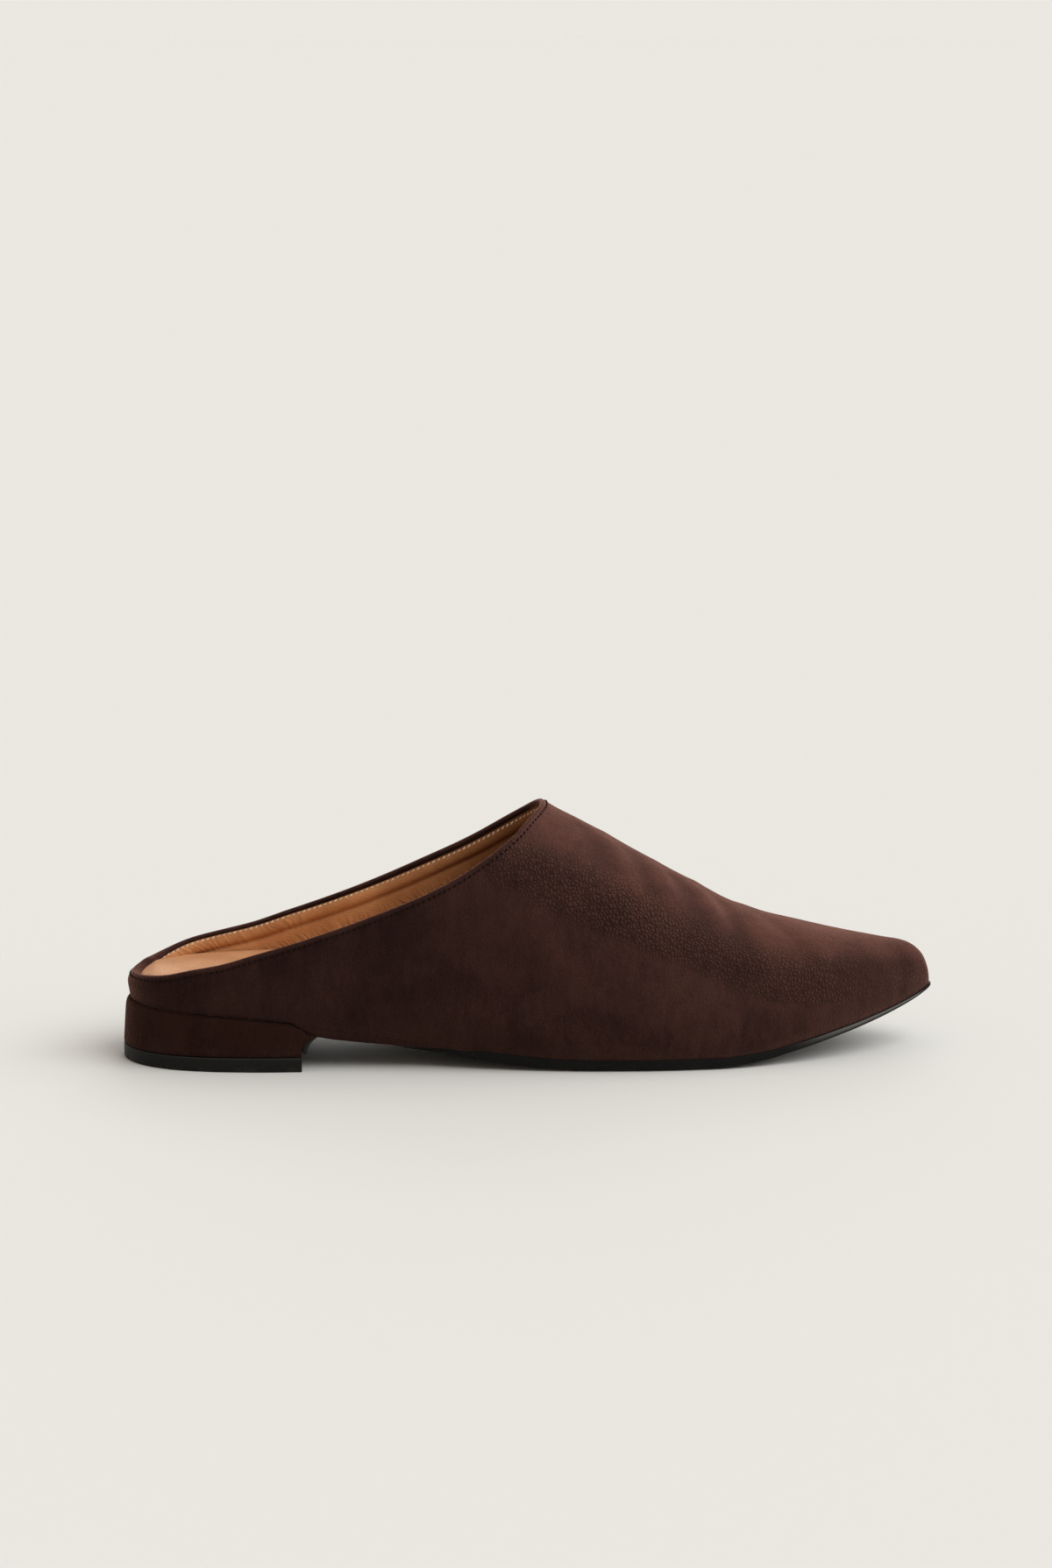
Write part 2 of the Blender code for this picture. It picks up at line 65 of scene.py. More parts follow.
# share of the length, share of the heel's rise, share of the toe spring
bottomRows = (
    (0, 1, 0), (0.057, 0.923, 0), (0.117, 0.842, 0), (0.17, 0.754, 0), (0.208, 0.683, 0), (0.246, 0.596, 0),
    (0.303, 0.448, 0), (0.367, 0.306, 0), (0.424, 0.197, 0), (0.481, 0.082, 0), (0.538, 0.011, 0),
    (0.587, 0, 0), (0.72, 0, 0), (0.769, 0, 0.07), (0.814, 0, 0.224), (0.856, 0, 0.376), (0.902, 0, 0.541),
    (0.947, 0, 0.729), (0.977, 0, 0.871), (1, 0, 1),
)
# for each named depth: share of the length, ridge height as a share of it, ridge shift by the ball's width
ridgeRows = (
    ("instepDepth", (0, 1.04, 0), (0.152, 1.09, 0.007), (0.303, 1.17, 0.027), (0.417, 1.15, 0.041),
     (0.47, 1.078, 0.047), (0.519, 0.985, 0.048), (0.568, 0.894, 0.047), (0.621, 0.791, 0.044),
     (0.674, 0.689, 0.041), (0.727, 0.593, 0.036), (0.773, 0.522, 0.03)),
    ("toeDepth", (0.811, 1.797, 0.025), (0.856, 1.515, 0.018), (0.902, 1.238, 0.011), (0.939, 1.01, 0.005),
     (0.97, 0.81, 0.002), (0.989, 0.545, 0.001), (1, 0, 0)),
)
# share of the length, swell as a share of the ball's width, its height as a share of the instep, shoulder
sectionRows = (
    (0, 0.008, 0.06, 0), (0.114, 0.022, 0.076, 0), (0.227, 0.041, 0.113, 0), (0.36, 0.055, 0.164, 0),
    (0.492, 0.049, 0.151, 0), (0.625, 0.041, 0.126, 0), (0.758, 0.036, 0.101, 0.04),
    (0.89, 0.025, 0.076, 0.12), (0.966, 0.014, 0.063, 0.16), (1, 0, 0.05, 0.16),
)
leanRows = ((0, 0), (0.5, -0.07), (1, 0.19), (2, 0.48), (12, 1.5))
# share of the way to the throat, rise on the outer and on the inner side
toplineRows = (
    (0, 0, 0), (0.074, 0.02, 0.038), (0.147, 0.066, 0.086), (0.221, 0.108, 0.121), (0.294, 0.166, 0.162),
    (0.382, 0.232, 0.239), (0.5, 0.33, 0.337), (0.625, 0.446, 0.464), (0.735, 0.565, 0.591),
    (0.846, 0.728, 0.724), (0.919, 0.852, 0.837), (0.963, 0.942, 0.915), (1, 1, 1),
)
# share of the length, share of the footbed's height at the heel, share of its height in front
footbedRows = (
    (0, 1, 0), (0.17, 1, 0), (0.227, 0.955, 0.045), (0.303, 0.78, 0.22), (0.379, 0.54, 0.46),
    (0.455, 0.28, 0.72), (0.53, 0.07, 0.93), (0.6, 0, 1), (1, 0, 1),
)
# share of the length, inset of the sole's edge by the waist's width, camber and thickness by the sole's thickness
soleRows = (
    (0.215, 0.03, 0.5, 1), (0.28, 0.06, 0.5, 1), (0.35, 0.035, 0.4, 1), (0.43, 0, 0.2, 1), (0.53, -0.01, 0, 1),
    (0.74, -0.01, 0, 1), (0.85, -0.004, 0, 0.84), (0.93, 0, 0, 0.66), (1, 0, 0, 0.42),
)


def fadeIn(value, start, end):
    t = np.clip((value - start) / (end - start), 0, 1)
    return t * t * (3 - 2 * t)


def bell(value, centre, width):
    return np.exp(-((value - centre) / width) ** 2)


def smoothCurve(places, values):
    places, values = np.array(places, float), np.array(values, float)
    step = np.diff(places)
    slope = np.diff(values) / step
    tangent = np.zeros(len(places))
    tangent[0], tangent[-1] = slope[0], slope[-1]
    for i in range(1, len(slope)):
        if slope[i - 1] * slope[i] > 0:
            before, after = 2 * step[i] + step[i - 1], step[i] + 2 * step[i - 1]
            tangent[i] = (before + after) / (before / slope[i - 1] + after / slope[i])

    def curve(x):
        x = np.clip(x, places[0], places[-1])
        i = np.clip(np.searchsorted(places, x, side="right") - 1, 0, len(step) - 1)
        t = (x - places[i]) / step[i]
        start = values[i] * (1 + 2 * t) * (1 - t) ** 2 + step[i] * tangent[i] * t * (1 - t) ** 2
        return start + values[i + 1] * t * t * (3 - 2 * t) + step[i] * tangent[i + 1] * t * t * (t - 1)

    return curve


def through(rows, index, scale=1):
    return smoothCurve([row[0] for row in rows], [row[index] * scale for row in rows])


def squared(table, index, part):
    rows = [(row[0], last[name] / part * row[index]) for name, *group in table for row in group]
    return smoothCurve([share for share, size in rows], [size ** 2 for share, size in rows])


outerSquared, innerSquared = squared(outlineRows, 1, 2), squared(outlineRows, 2, 2)
ridgeSquared = squared(ridgeRows, 1, 1)
ridgeShift = through([row for name, *group in ridgeRows for row in group], 2, last["ballWidth"])
heelShare, toeShare = through(bottomRows, 1), through(bottomRows, 2)
swell, swellHeight = through(sectionRows, 1, last["ballWidth"]), through(sectionRows, 2, last["instepDepth"])
shoulder, leanShare = through(sectionRows, 3), through(leanRows, 1)
outerRise, innerRise = through(toplineRows, 1), through(toplineRows, 2)
footbedHeel, footbedFront = through(footbedRows, 1), through(footbedRows, 2)
soleInset = through(soleRows, 1, last["waistWidth"])
soleCamber, soleDepth = through(soleRows, 2, last["soleThickness"]), through(soleRows, 3, last["soleThickness"])


def halfWidth(share, side):
    return np.sqrt(np.maximum(np.where(np.asarray(side) > 0, innerSquared(share), outerSquared(share)), 0))


def bottomHeight(share):
    rise = last["heelHeight"] - last["soleThickness"]
    return last["soleThickness"] + rise * heelShare(share) + last["toeSpring"] * toeShare(share)


def ridgeDepth(share):
    return np.sqrt(np.maximum(ridgeSquared(share), 0))


def tuck(share, rise):
    return 1 - np.minimum(rise / np.maximum(np.minimum(swellHeight(share), ridgeDepth(share)), 1e-6), 1)


def lastPoint(share, turn, side):
    share, turn, side = np.broadcast_arrays(np.asarray(share, float), turn, side)
    rise = ridgeDepth(share) * np.sin(turn)
    edge = halfWidth(share, side)
    widest = swell(share) * np.minimum(1, edge / (last["heelWidth"] / 4))
    middle = ridgeShift(share)
    across = np.cos(turn) * (1 + shoulder(share) * np.sin(turn) ** 2)
    y = middle + ((edge + widest) * side - middle) * across - side * widest * tuck(share, rise) ** 2
    lean = last["backWall"] * leanShare(rise / last["backWall"]) * (1 - share) ** last["leanFade"]
    return np.stack((share * last["length"] + lean - originX, y, bottomHeight(share) + rise), -1)


def stationShare(station):
    return (1 - np.cos(pi * np.asarray(station, float))) / 2


def stationOf(distance):
    return acos(1 - 2 * distance / last["length"]) / pi


def anyPoint(station, turn, side):
    # past the back, the tip or the ridge, the surface goes on as the other side
    station, turn, side = np.broadcast_arrays(np.asarray(station, float), turn, side)
    flip = np.where((station < 0) | (station > 1), -1, 1) * np.where(turn > pi / 2, -1, 1)
    station = np.where(station > 1, 2 - station, np.abs(station))
    return lastPoint(stationShare(station), np.minimum(turn, pi - turn), side * flip)


def outward(station, turn, side):
    tiny = 1e-4
    along = anyPoint(station + tiny, turn, side) - anyPoint(station - tiny, turn, side)
    up = anyPoint(station, turn + tiny, side) - anyPoint(station, np.maximum(turn - tiny, 0), side)
    normal = -np.cross(along, up) * np.asarray(side, float)[..., None]
    normal /= np.linalg.norm(normal, axis=-1, keepdims=True)
    tip = np.broadcast_to(np.asarray(station) > 1 - 1e-6, normal.shape[:-1])
    normal[tip] = (1, 0, 0)
    return normal


def wallPoint(station, turn, side, depth):
    # a point this deep in the wall; at the bottom edge the wall is measured level
    station, turn, side, depth = np.broadcast_arrays(np.asarray(station, float), turn, side, depth)
    share = stationShare(station)
    point = lastPoint(share, turn, side)
    low = tuck(share, point[..., 2] - bottomHeight(share))
    step = -outward(station, turn, side)
    step[..., 2] *= 1 - low
    step *= (depth / np.linalg.norm(step, axis=-1))[..., None]
    here = (point[..., 0] + originX) / last["length"]
    there = (point[..., 0] + step[..., 0] + originX) / last["length"]
    step[..., 2] += (bottomHeight(there) - bottomHeight(here)) * low
    return point + step


def toplineHeight(share, side):
    throat = last["throatDistance"] / last["length"]
    back = last["heelHeight"] + last["backWall"]
    rise = np.where(np.asarray(side) > 0, innerRise(share / throat), outerRise(share / throat))
    # worn in: the topline has settled, most of all at the back
    settled = 0.0003 + 0.0006 * (1 - fadeIn(share, 0, 0.06))
    settled = settled + 0.0004 * bell(share, 0.2, 0.05) * (np.asarray(side) > 0)
    settled = settled * (1 - fadeIn(share, 0.4, 0.5))
    return back + (bottomHeight(throat) + ridgeDepth(throat) - back) * rise - settled


def footbedTop(x):
    share = (x + originX) / last["length"]
    front = bottomHeight(share) + last["forefootPadding"]
    return (last["heelHeight"] + last["seatPadding"]) * footbedHeel(share) + front * footbedFront(share)


def solve(reached, shape):
    # the lowest share at which the test comes true, for many places at once
    low, high = np.zeros(shape), np.ones(shape)
    for _ in range(26):
        middle = (low + high) / 2
        there = reached(middle)
        high = np.where(there, middle, high)
        low = np.where(there, low, middle)
    return high


def toplineTurn(station, side):
    share = stationShare(station)
    height = toplineHeight(share, side)
    return pi / 2 * solve(lambda t: lastPoint(share, pi / 2 * t, side)[..., 2] >= height, share.shape)


def travelled(points):
    return np.concatenate(([0], np.cumsum(np.linalg.norm(np.diff(points, axis=0), axis=1))))


def evenSteps(place, count, spread=lambda t: t):
    fine = np.linspace(0, 1, 400)
    lengths = travelled(place(fine))
    return np.interp(lengths[-1] * spread(np.linspace(0, 1, count + 1)), lengths, fine)


# lines up the side of the last, from the bottom edge to the topline or to the ridge
weaveLines = dict(back=190, front=120)


def columnLines(side):
    throat, foot = stationOf(last["throatDistance"]), stationOf(last["throatFoot"])

    def openStation(v):
        return throat * np.sin(pi / 2 * v)

    def rim(v):
        station = openStation(v)
        return lastPoint(stationShare(station), toplineTurn(station, side), side)

    def frontSpread(t):
        # close together just in front of the throat and at the tip
        return 0.3 * t + 0.7 * (1 - (1 - t * t * (3 - 2 * t)) ** 1.1)

    def onward(start, turn):
        def place(v):
            return lastPoint(stationShare(start + (1 - start) * v), turn, side)

        return start + (1 - start) * evenSteps(place, weaveLines["front"], frontSpread)

    tops = openStation(evenSteps(rim, weaveLines["back"]))[:-1]
    feet = foot * evenSteps(lambda v: lastPoint(stationShare(foot * v), 0, side), weaveLines["back"])[:-1]
    turn = np.concatenate((toplineTurn(tops, side), np.full(weaveLines["front"] + 1, pi / 2)))
    return np.concatenate((feet, onward(foot, 0))), np.concatenate((tops, onward(throat, pi / 2))), turn


def onLines(lines, rises):
    # station and turn of a grid of points, one row of points up each line
    low, top, turn = (part[:, None] for part in lines)
    rises = np.broadcast_to(rises, (len(lines[0]), np.shape(rises)[-1]))
    return low + (top - low) * rises, turn * rises


def nearestDistance(points, curve):
    flat = points.reshape(-1, 3)
    found = np.empty(len(flat))
    for i in range(0, len(flat), 4000):
        block = flat[i:i + 4000, None, :] - curve[None]
        found[i:i + 4000] = np.sqrt((block ** 2).sum(-1).min(1))
    return found.reshape(points.shape[:-1])


def addObject(name, data):
    made = bpy.data.objects.new(name, data)
    bpy.context.scene.collection.objects.link(made)
    return made


def addPiece(name, work, material):
    mesh = bpy.data.meshes.new(name)
    work.to_mesh(mesh)
    work.free()
    mesh.shade_smooth()
    mesh.materials.append(material)
    return addObject(name, mesh)


def makePiece(name, grids, material, fills=()):
    # grids are (points, values) pairs; values is a dictionary of masks kept on the points
    work = bmesh.new()
    for mask in dict.fromkeys(mask for points, masks in grids for mask in masks):
        work.verts.layers.float.new(mask)
    for points, masks in grids:
        n, m = points.shape[:2]
        verts = [work.verts.new(p) for p in points.reshape(-1, 3).tolist()]
        for mask, values in masks.items():
            layer = work.verts.layers.float[mask]
            for vert, value in zip(verts, np.broadcast_to(values, (n, m)).reshape(-1).tolist()):
                vert[layer] = value
        for i in range(n - 1):
            for j in range(m - 1):
                a = i * m + j
                work.faces.new((verts[a], verts[a + m], verts[a + m + 1], verts[a + 1]))
    for ring in fills:
        work.faces.new([work.verts.new(p) for p in ring.tolist()])
    bmesh.ops.remove_doubles(work, verts=work.verts, dist=1e-6)
    bmesh.ops.dissolve_degenerate(work, edges=work.edges, dist=1e-7)
    bmesh.ops.recalc_face_normals(work, faces=work.faces)
    if work.calc_volume(signed=True) < 0:
        bmesh.ops.reverse_faces(work, faces=work.faces)
    return addPiece(name, work, material)


# materials


def setSockets(tree, node, values):
    # a value may be another node's output; a colour is given as red, green and blue
    for key, value in values.items():
        socket = node.inputs[key]
        if isinstance(value, bpy.types.NodeSocket):
            tree.links.new(value, socket)
        else:
            socket.default_value = (*value, 1) if socket.type == "RGBA" else value
    return node


def addNode(tree, kind, inputs, **settings):
    node = tree.nodes.new("ShaderNode" + kind)
    for key, value in settings.items():
        setattr(node, key, value)
    return setSockets(tree, node, inputs)


def calc(tree, operation, *values):
    return addNode(tree, "Math", dict(enumerate(values)), operation=operation).outputs[0]


def product(tree, first, second):
    return calc(tree, "MULTIPLY", first, second)


def productPlus(tree, first, second, more):
    return calc(tree, "MULTIPLY_ADD", first, second, more)


def vectorCalc(tree, operation, *values):
    return addNode(tree, "VectorMath", dict(enumerate(values)), operation=operation).outputs[0]


def softStep(tree, value, low, high):
    return addNode(tree, "MapRange", {0: value, 1: low, 2: high}, interpolation_type="SMOOTHSTEP").outputs[0]


def noise(tree, place, scale, detail, rough=0.5, twist=0):
    values = {"Vector": place, "Scale": scale, "Detail": detail, "Roughness": rough, "Distortion": twist}
    return addNode(tree, "TexNoise", values).outputs[0]


def newGroup(name, inputs, outputs):
    # every socket is a number; the group works on the object's own coordinates
    group = bpy.data.node_groups.new(name, "ShaderNodeTree")
    for label, value in inputs.items():
        socket = group.interface.new_socket(label, in_out="INPUT", socket_type="NodeSocketFloat")
        socket.default_value = value
    for label in outputs:
        group.interface.new_socket(label, in_out="OUTPUT", socket_type="NodeSocketFloat")
    return group, group.nodes.new("NodeGroupInput").outputs, addNode(group, "TexCoord", {}).outputs["Object"]


def giveOut(group, *values):
    setSockets(group, group.nodes.new("NodeGroupOutput"), dict(enumerate(values)))
    return group


def grainGroup():
    # leather grain: small domed cells with soft valleys
    group, given, place = newGroup("LeatherGrain", {"Cells per metre": 800, "Unevenness": 0.5},
                                   ("Height", "Valleys"))
    wander = addNode(group, "TexNoise", {"Vector": place, "Scale": 420, "Detail": 1}).outputs["Color"]
    shift = vectorCalc(group, "MULTIPLY", vectorCalc(group, "SUBTRACT", wander, (0.5,) * 3), (0.0004,) * 3)
    moved = vectorCalc(group, "MULTIPLY", vectorCalc(group, "ADD", place, shift), (1, 0.8, 0.72))
    cells = addNode(group, "TexVoronoi", {"Vector": moved, "Scale": given[0], "Randomness": 0.85},
                    feature="DISTANCE_TO_EDGE").outputs["Distance"]
    uneven = product(group, calc(group, "SUBTRACT", noise(group, place, 300, 2), 0.5), given[1])
    return giveOut(group, calc(group, "ADD", softStep(group, cells, 0, 0.3), uneven),
                   calc(group, "SUBTRACT", 1, softStep(group, cells, 0, 0.16)))


def napGroup():
    # brushed nap: fine fibre height, speckle, wide patches where the pile lies another way, and slanting streaks
    group, given, place = newGroup("BrushedNap", {"Fibres per metre": 3200, "Patches per metre": 38},
                                   ("Height", "Speckle", "Patches", "Streaks"))
    lean = vectorCalc(group, "MULTIPLY", place, (0.55, 1, 1))
    tilted = addNode(group, "Mapping", {0: place, 2: (0, radians(-35), 0), 3: (340, 340, 110)}).outputs[0]
    return giveOut(group, noise(group, lean, given[0], 3, 0.7),
                   softStep(group, noise(group, place, 1700, 3, 0.7), 0.3, 0.7),
                   softStep(group, noise(group, place, given[1], 3, 0.55, 0.6), 0.32, 0.68),
                   softStep(group, noise(group, tilted, 1, 4, 0.7, 0.4), 0.3, 0.7))


def rubGroup():
    # dust and rubbing near the floor, broken up so that it never ends in a line
    group, given, place = newGroup("FloorRub", {"Reach": 0.012, "Amount": 0.5}, ("Mask",))
    height = addNode(group, "SeparateXYZ", {0: place}).outputs[2]
    near = softStep(group, calc(group, "SUBTRACT", 1, calc(group, "DIVIDE", height, given[0])), 0, 1)
    mask = product(group, near, softStep(group, noise(group, place, 240, 5, 0.65), 0.42, 0.66))
    return giveOut(group, product(group, mask, given[1]))


def wrinkleGroup():
    # fine lines that lining leather takes where it is pulled round a curve
    group, given, place = newGroup("LiningWrinkles", {"Lines per metre": 260, "Lean": 0.8}, ("Height",))
    x, y, z = addNode(group, "SeparateXYZ", {0: place}).outputs
    along = calc(group, "ADD", x, product(group, z, given[1]))
    along = calc(group, "ADD", along, product(group, noise(group, place, 60, 3), 0.012))
    stretched = addNode(group, "CombineXYZ", {0: along, 2: product(group, z, 0.12)}).outputs[0]
    return giveOut(group, softStep(group, noise(group, stretched, given[0], 2), 0.35, 0.65))


leatherGrain, brushedNap, floorRub, liningWrinkles = grainGroup(), napGroup(), rubGroup(), wrinkleGroup()


def useGroup(tree, group, *values):
    # the values go to the group's inputs in their order
    return addNode(tree, "Group", dict(enumerate(values)), node_tree=group).outputs


def mixColours(tree, factor, first, second):
    return addNode(tree, "Mix", {0: factor, 6: first, 7: second}, data_type="RGBA").outputs[2]


def layers(tree, colour, *over):
    for mask, layer in over:
        colour = mixColours(tree, mask, colour, layer)
    return colour


def maskValue(tree, name):
    return addNode(tree, "Attribute", {}, attribute_name=name).outputs["Fac"]


def startMaterial(name):
    material = bpy.data.materials.new(name)
    material.use_nodes = True
    material.diffuse_color = (0.3, 0.2, 0.15, 1)
    return material, material.node_tree


def surface(material, values, height=None, distance=0, strength=1):
    tree = material.node_tree
    shader = setSockets(tree, tree.nodes["Principled BSDF"], values)
    if height is not None:
        relief = addNode(tree, "Bump", {"Height": height, "Distance": distance, "Strength": strength})
        tree.links.new(relief.outputs[0], shader.inputs["Normal"])
    return material


def suedeMaterial(name, look):
    material, tree = startMaterial(name)
    nap = useGroup(tree, brushedNap, 3200, look["patches"])
    grain = useGroup(tree, leatherGrain, look["cells"], 0.25)
    rub = useGroup(tree, floorRub, look["rubReach"], 0.35)
    band, lit, edge = (maskValue(tree, mask) for mask in ("grainBand", "napAndPaintedLight", "edgeShade"))
    patches = product(tree, nap["Patches"], look["patchTone"])
    brushed = productPlus(tree, nap["Streaks"], look["streakTone"], patches)
    # the grain band has less speckle and more valleys and pebbles; the valleys are painted darker, painted shade
    speckle = productPlus(tree, band, -0.16, look["speckleTone"])
    tone = productPlus(tree, nap["Speckle"], speckle, productPlus(tree, band, 0.09, brushed))
    valley = product(tree, grain["Valleys"], productPlus(tree, band, look["bandValleys"], 0.09))
    pebbles = product(tree, grain["Height"], productPlus(tree, band, look["bandPebbles"], 0.18))
    # the lit copy, mixed in by the mask, is painted light, partly lighter nap
    low, high = (mixColours(tree, tone, look[a], look[b]) for a, b in (("dark", "light"), ("litDark", "lit")))
    # painted shade: the grain valleys and the edge mask darken the suede to the deep colour
    colour = layers(tree, mixColours(tree, lit, low, high), (valley, look["deep"]), (edge, look["deep"]),
                    (rub[0], look["dust"]))
    return surface(material, {"Base Color": colour, "Roughness": 0.95, "Specular IOR Level": 0.04,
                              "Sheen Weight": look["sheen"], "Sheen Roughness": 0.38,
                              "Sheen Tint": look["sheenTint"]},
                   productPlus(tree, nap["Height"], look["fibreHeight"], pebbles), look["relief"])


def leatherMaterial(name, look):
    material, tree = startMaterial(name)
    grain = useGroup(tree, leatherGrain, look["cells"], 0.8)
    nap = useGroup(tree, brushedNap, 5200, look["patches"])
    lines = useGroup(tree, liningWrinkles, look["lines"], look["lean"])
    crease = product(tree, maskValue(tree, "wrinkle"), lines[0])
    # painted shade: the wrinkles' lines and the edge mask darken the leather
    colour = layers(tree, mixColours(tree, nap["Patches"], look["dark"], look["light"]),
                    (product(tree, nap["Speckle"], 0.25), look["pale"]),
                    (product(tree, crease, 0.35), look["deep"]),
                    (maskValue(tree, "edgeShade"), look["deep"]))
    rough = productPlus(tree, nap["Speckle"], 0.12, look["rough"])
    height = productPlus(tree, grain["Height"], 0.35, product(tree, crease, -1.1))
    return surface(material, {"Base Color": colour, "Roughness": rough, "Specular IOR Level": 0.2},
                   height, 0.0003, 0.7)


def rubberMaterial(name, look):
    material, tree = startMaterial(name)
    nap = useGroup(tree, brushedNap, 2600, 60)
    rub = useGroup(tree, floorRub, look["rubReach"], look["rub"])
    # the edge mask paints edges paler: painted highlights on the sole, a paler top edge on the lift
    colour = layers(tree, mixColours(tree, nap["Speckle"], look["dark"], look["light"]), (rub[0], look["dust"]),
                    (maskValue(tree, "paleEdgeMask"), look["paleEdge"]))
    rough = productPlus(tree, nap["Patches"], 0.14, look["rough"])
    return surface(material, {"Base Color": colour, "Roughness": rough, "Specular IOR Level": look["shine"]},
                   nap["Height"], 0.00012, 0.5)


def threadMaterial(name, dark, light):
    material, tree = startMaterial(name)
    nap = useGroup(tree, brushedNap, 6000, 240)
    colour = mixColours(tree, nap["Patches"], dark, light)
    return surface(material, {"Base Color": colour, "Roughness": 0.75, "Specular IOR Level": 0.08},
                   nap["Height"], 0.00008, 0.6)


suedeLook = dict(
    deep=(0.006, 0.0026, 0.0021), dark=(0.01, 0.0041, 0.0034), light=(0.035, 0.0152, 0.0124),
    # litDark and lit: the suede's lit copy, painted light where the suede is turned to the light, partly lighter
    # nap
    litDark=(0.044, 0.02, 0.018), lit=(0.112, 0.0465, 0.035), dust=(0.05, 0.033, 0.027),
    sheen=0.58, sheenTint=(0.75, 0.38, 0.3), cells=860, patches=42, rubReach=0.01,
    patchTone=0.46, streakTone=0.3, speckleTone=0.36, bandValleys=0.42, bandPebbles=0.82, fibreHeight=0.3,
    relief=0.0004,
)
heelLook = dict(suedeLook, dark=(0.013, 0.0048, 0.0033), light=(0.026, 0.0105, 0.0074), sheen=0.3, rubReach=0.012)
liningLook = dict(
    deep=(0.12, 0.041, 0.01), dark=(0.52, 0.214, 0.077), light=(0.66, 0.298, 0.117), pale=(0.7, 0.355, 0.162),
    rough=0.56, cells=1500, patches=70, lines=620, lean=0.85,
)
footbedLook = dict(
    deep=(0.28, 0.108, 0.038), dark=(0.49, 0.22, 0.095), light=(0.6, 0.29, 0.14), pale=(0.68, 0.385, 0.21),
    rough=0.54, cells=1300, patches=45, lines=300, lean=0.2,
)
soleLook = dict(dark=(0.0036, 0.0036, 0.0036), light=(0.0078, 0.0077, 0.0076), dust=(0.03, 0.027, 0.024),
                # the pale edge colour is a painted highlight along the sole's edges
                paleEdge=(0.125, 0.12, 0.108), rough=0.5, shine=0.1, rubReach=0.003, rub=0.3)
liftLook = dict(dark=(0.0048, 0.0049, 0.0043), light=(0.0085, 0.0086, 0.0075), dust=(0.04, 0.037, 0.033),
                paleEdge=(0.03, 0.03, 0.027), rough=0.46, shine=0.14, rubReach=0.003, rub=0.4)

suede = suedeMaterial("SuedeBrown", suedeLook)
heelSuede = suedeMaterial("SuedeHeelCover", heelLook)
liningLeather = leatherMaterial("LiningTan", liningLook)
footbedLeather = leatherMaterial("FootbedTan", footbedLook)
soleRubber = rubberMaterial("SoleBlack", soleLook)
liftRubber = rubberMaterial("LiftBlack", liftLook)
darkThread = threadMaterial("ThreadDark", (0.003, 0.0015, 0.0012), (0.012, 0.0065, 0.0052))
creamThread = threadMaterial("ThreadCream", (0.62, 0.4, 0.25), (0.86, 0.66, 0.48))
print("materials made")


# upper

suedeUpper = dict(
    rows=64, lowCrowding=1.35, rimDepth=0.01,  # rows lie closest in the last centimetre under the topline
    stitchDrop=0.00125, stitchDip=0.00007, stitchReach=0.0004, backSeam=0.00022, softness=0.00014,
    rimRound=0.7, rimBump=0.75, turnedIn=0.0006, turnedMore=0.0009, backFold=0.0018, tucked=0.0004,
)
nearRimRows = 26


def foldMore(share):
    # the suede is turned in further towards the throat
    return suedeUpper["turnedMore"] * fadeIn(share, 0.1, 0.42)


# soft troughs (negative) and ridges: start and end as shares of the length and of the quarter turn, width, height
creaseRows = (
    (0.56, 0.9, 0.59, 0.7, 0.004, -0.00046), (0.59, 0.9, 0.618, 0.68, 0.0034, 0.00036),
    (0.626, 0.91, 0.64, 0.7, 0.0042, -0.00058), (0.655, 0.9, 0.668, 0.74, 0.0032, 0.00034),
    (0.676, 0.88, 0.704, 0.66, 0.0044, -0.00062), (0.704, 0.9, 0.73, 0.7, 0.0034, 0.00044),
    (0.738, 0.88, 0.756, 0.58, 0.0044, -0.00062), (0.766, 0.88, 0.8, 0.72, 0.004, 0.0003),
    (0.8, 0.82, 0.84, 0.53, 0.0048, -0.00042), (0.64, 0.6, 0.712, 0.56, 0.005, -0.0003),
    (0.96, 0.6, 0.958, 0.14, 0.003, -0.00045), (0.42, 0.36, 0.5, 0.2, 0.008, -0.0003),
    (0.3, 0.2, 0.38, 0.26, 0.007, -0.00025),
)
# share of the length, how far leather and stiffener stand off the last along the ridge
ridgeLiftRows = (
    (0, 0), (0.52, 0), (0.56, 0.0004), (0.6, 0.00055), (0.65, 0.0007), (0.7, 0.00085), (0.722, 0.00075),
    (0.742, 0.0002), (0.765, -0.0005), (0.8, -0.0006), (0.86, -0.0006), (0.895, -0.0004), (0.93, -0.0001),
    (0.96, 0), (1, 0),
)
ridgeLift = through(ridgeLiftRows, 1)


def creaseHeight(points, turnSide):
    height = np.zeros(points.shape[:-1])
    for startShare, startTurn, endShare, endTurn, width, rise in creaseRows:
        a = lastPoint(startShare, startTurn * pi / 2, turnSide)
        b = lastPoint(endShare, endTurn * pi / 2, turnSide)
        t = np.clip(((points - a) @ (b - a)) / ((b - a) @ (b - a)), 0, 1)
        height += rise * bell(np.linalg.norm(points - (a + t[..., None] * (b - a)), axis=-1), 0, width)
    return height


def softUneven(points):
    # slow waves of leather drawn over the last
    x, y, z = (points[..., i] for i in range(3))
    wave = np.sin(150 * x + 90 * z + 2.1 * np.sin(60 * y)) + 0.7 * np.sin(95 * x - 170 * z + 80 * y)
    return wave * suedeUpper["softness"] / 1.7


def riseRows(count, crowding, lengths, near, nearCount):
    # rows from 0 to 1 for each line, with nearCount of them in the last stretch below its top
    split = 1 - np.minimum(near / lengths, 0.6)
    low = (np.linspace(0, 1, count + 1) ** crowding)[None, :] * split[:, None]
    high = split[:, None] + (1 - split[:, None]) * np.linspace(0, 1, nearCount + 1)[None, 1:]
    return np.concatenate((low, high), 1)


def lineLengths(lines, side):
    station, turn = onLines(lines, np.linspace(0, 1, 14))
    points = lastPoint(stationShare(station), turn, side)
    return np.linalg.norm(np.diff(points, axis=1), axis=-1).sum(1)


def rimCurve(lines, side, depth):
    n = weaveLines["back"] + 1
    return wallPoint(lines[1][:n], lines[2][:n], side, depth)


def wholeRim(sides, depth):
    return np.concatenate([rimCurve(lines, side, depth) for side, lines in sides.items()])


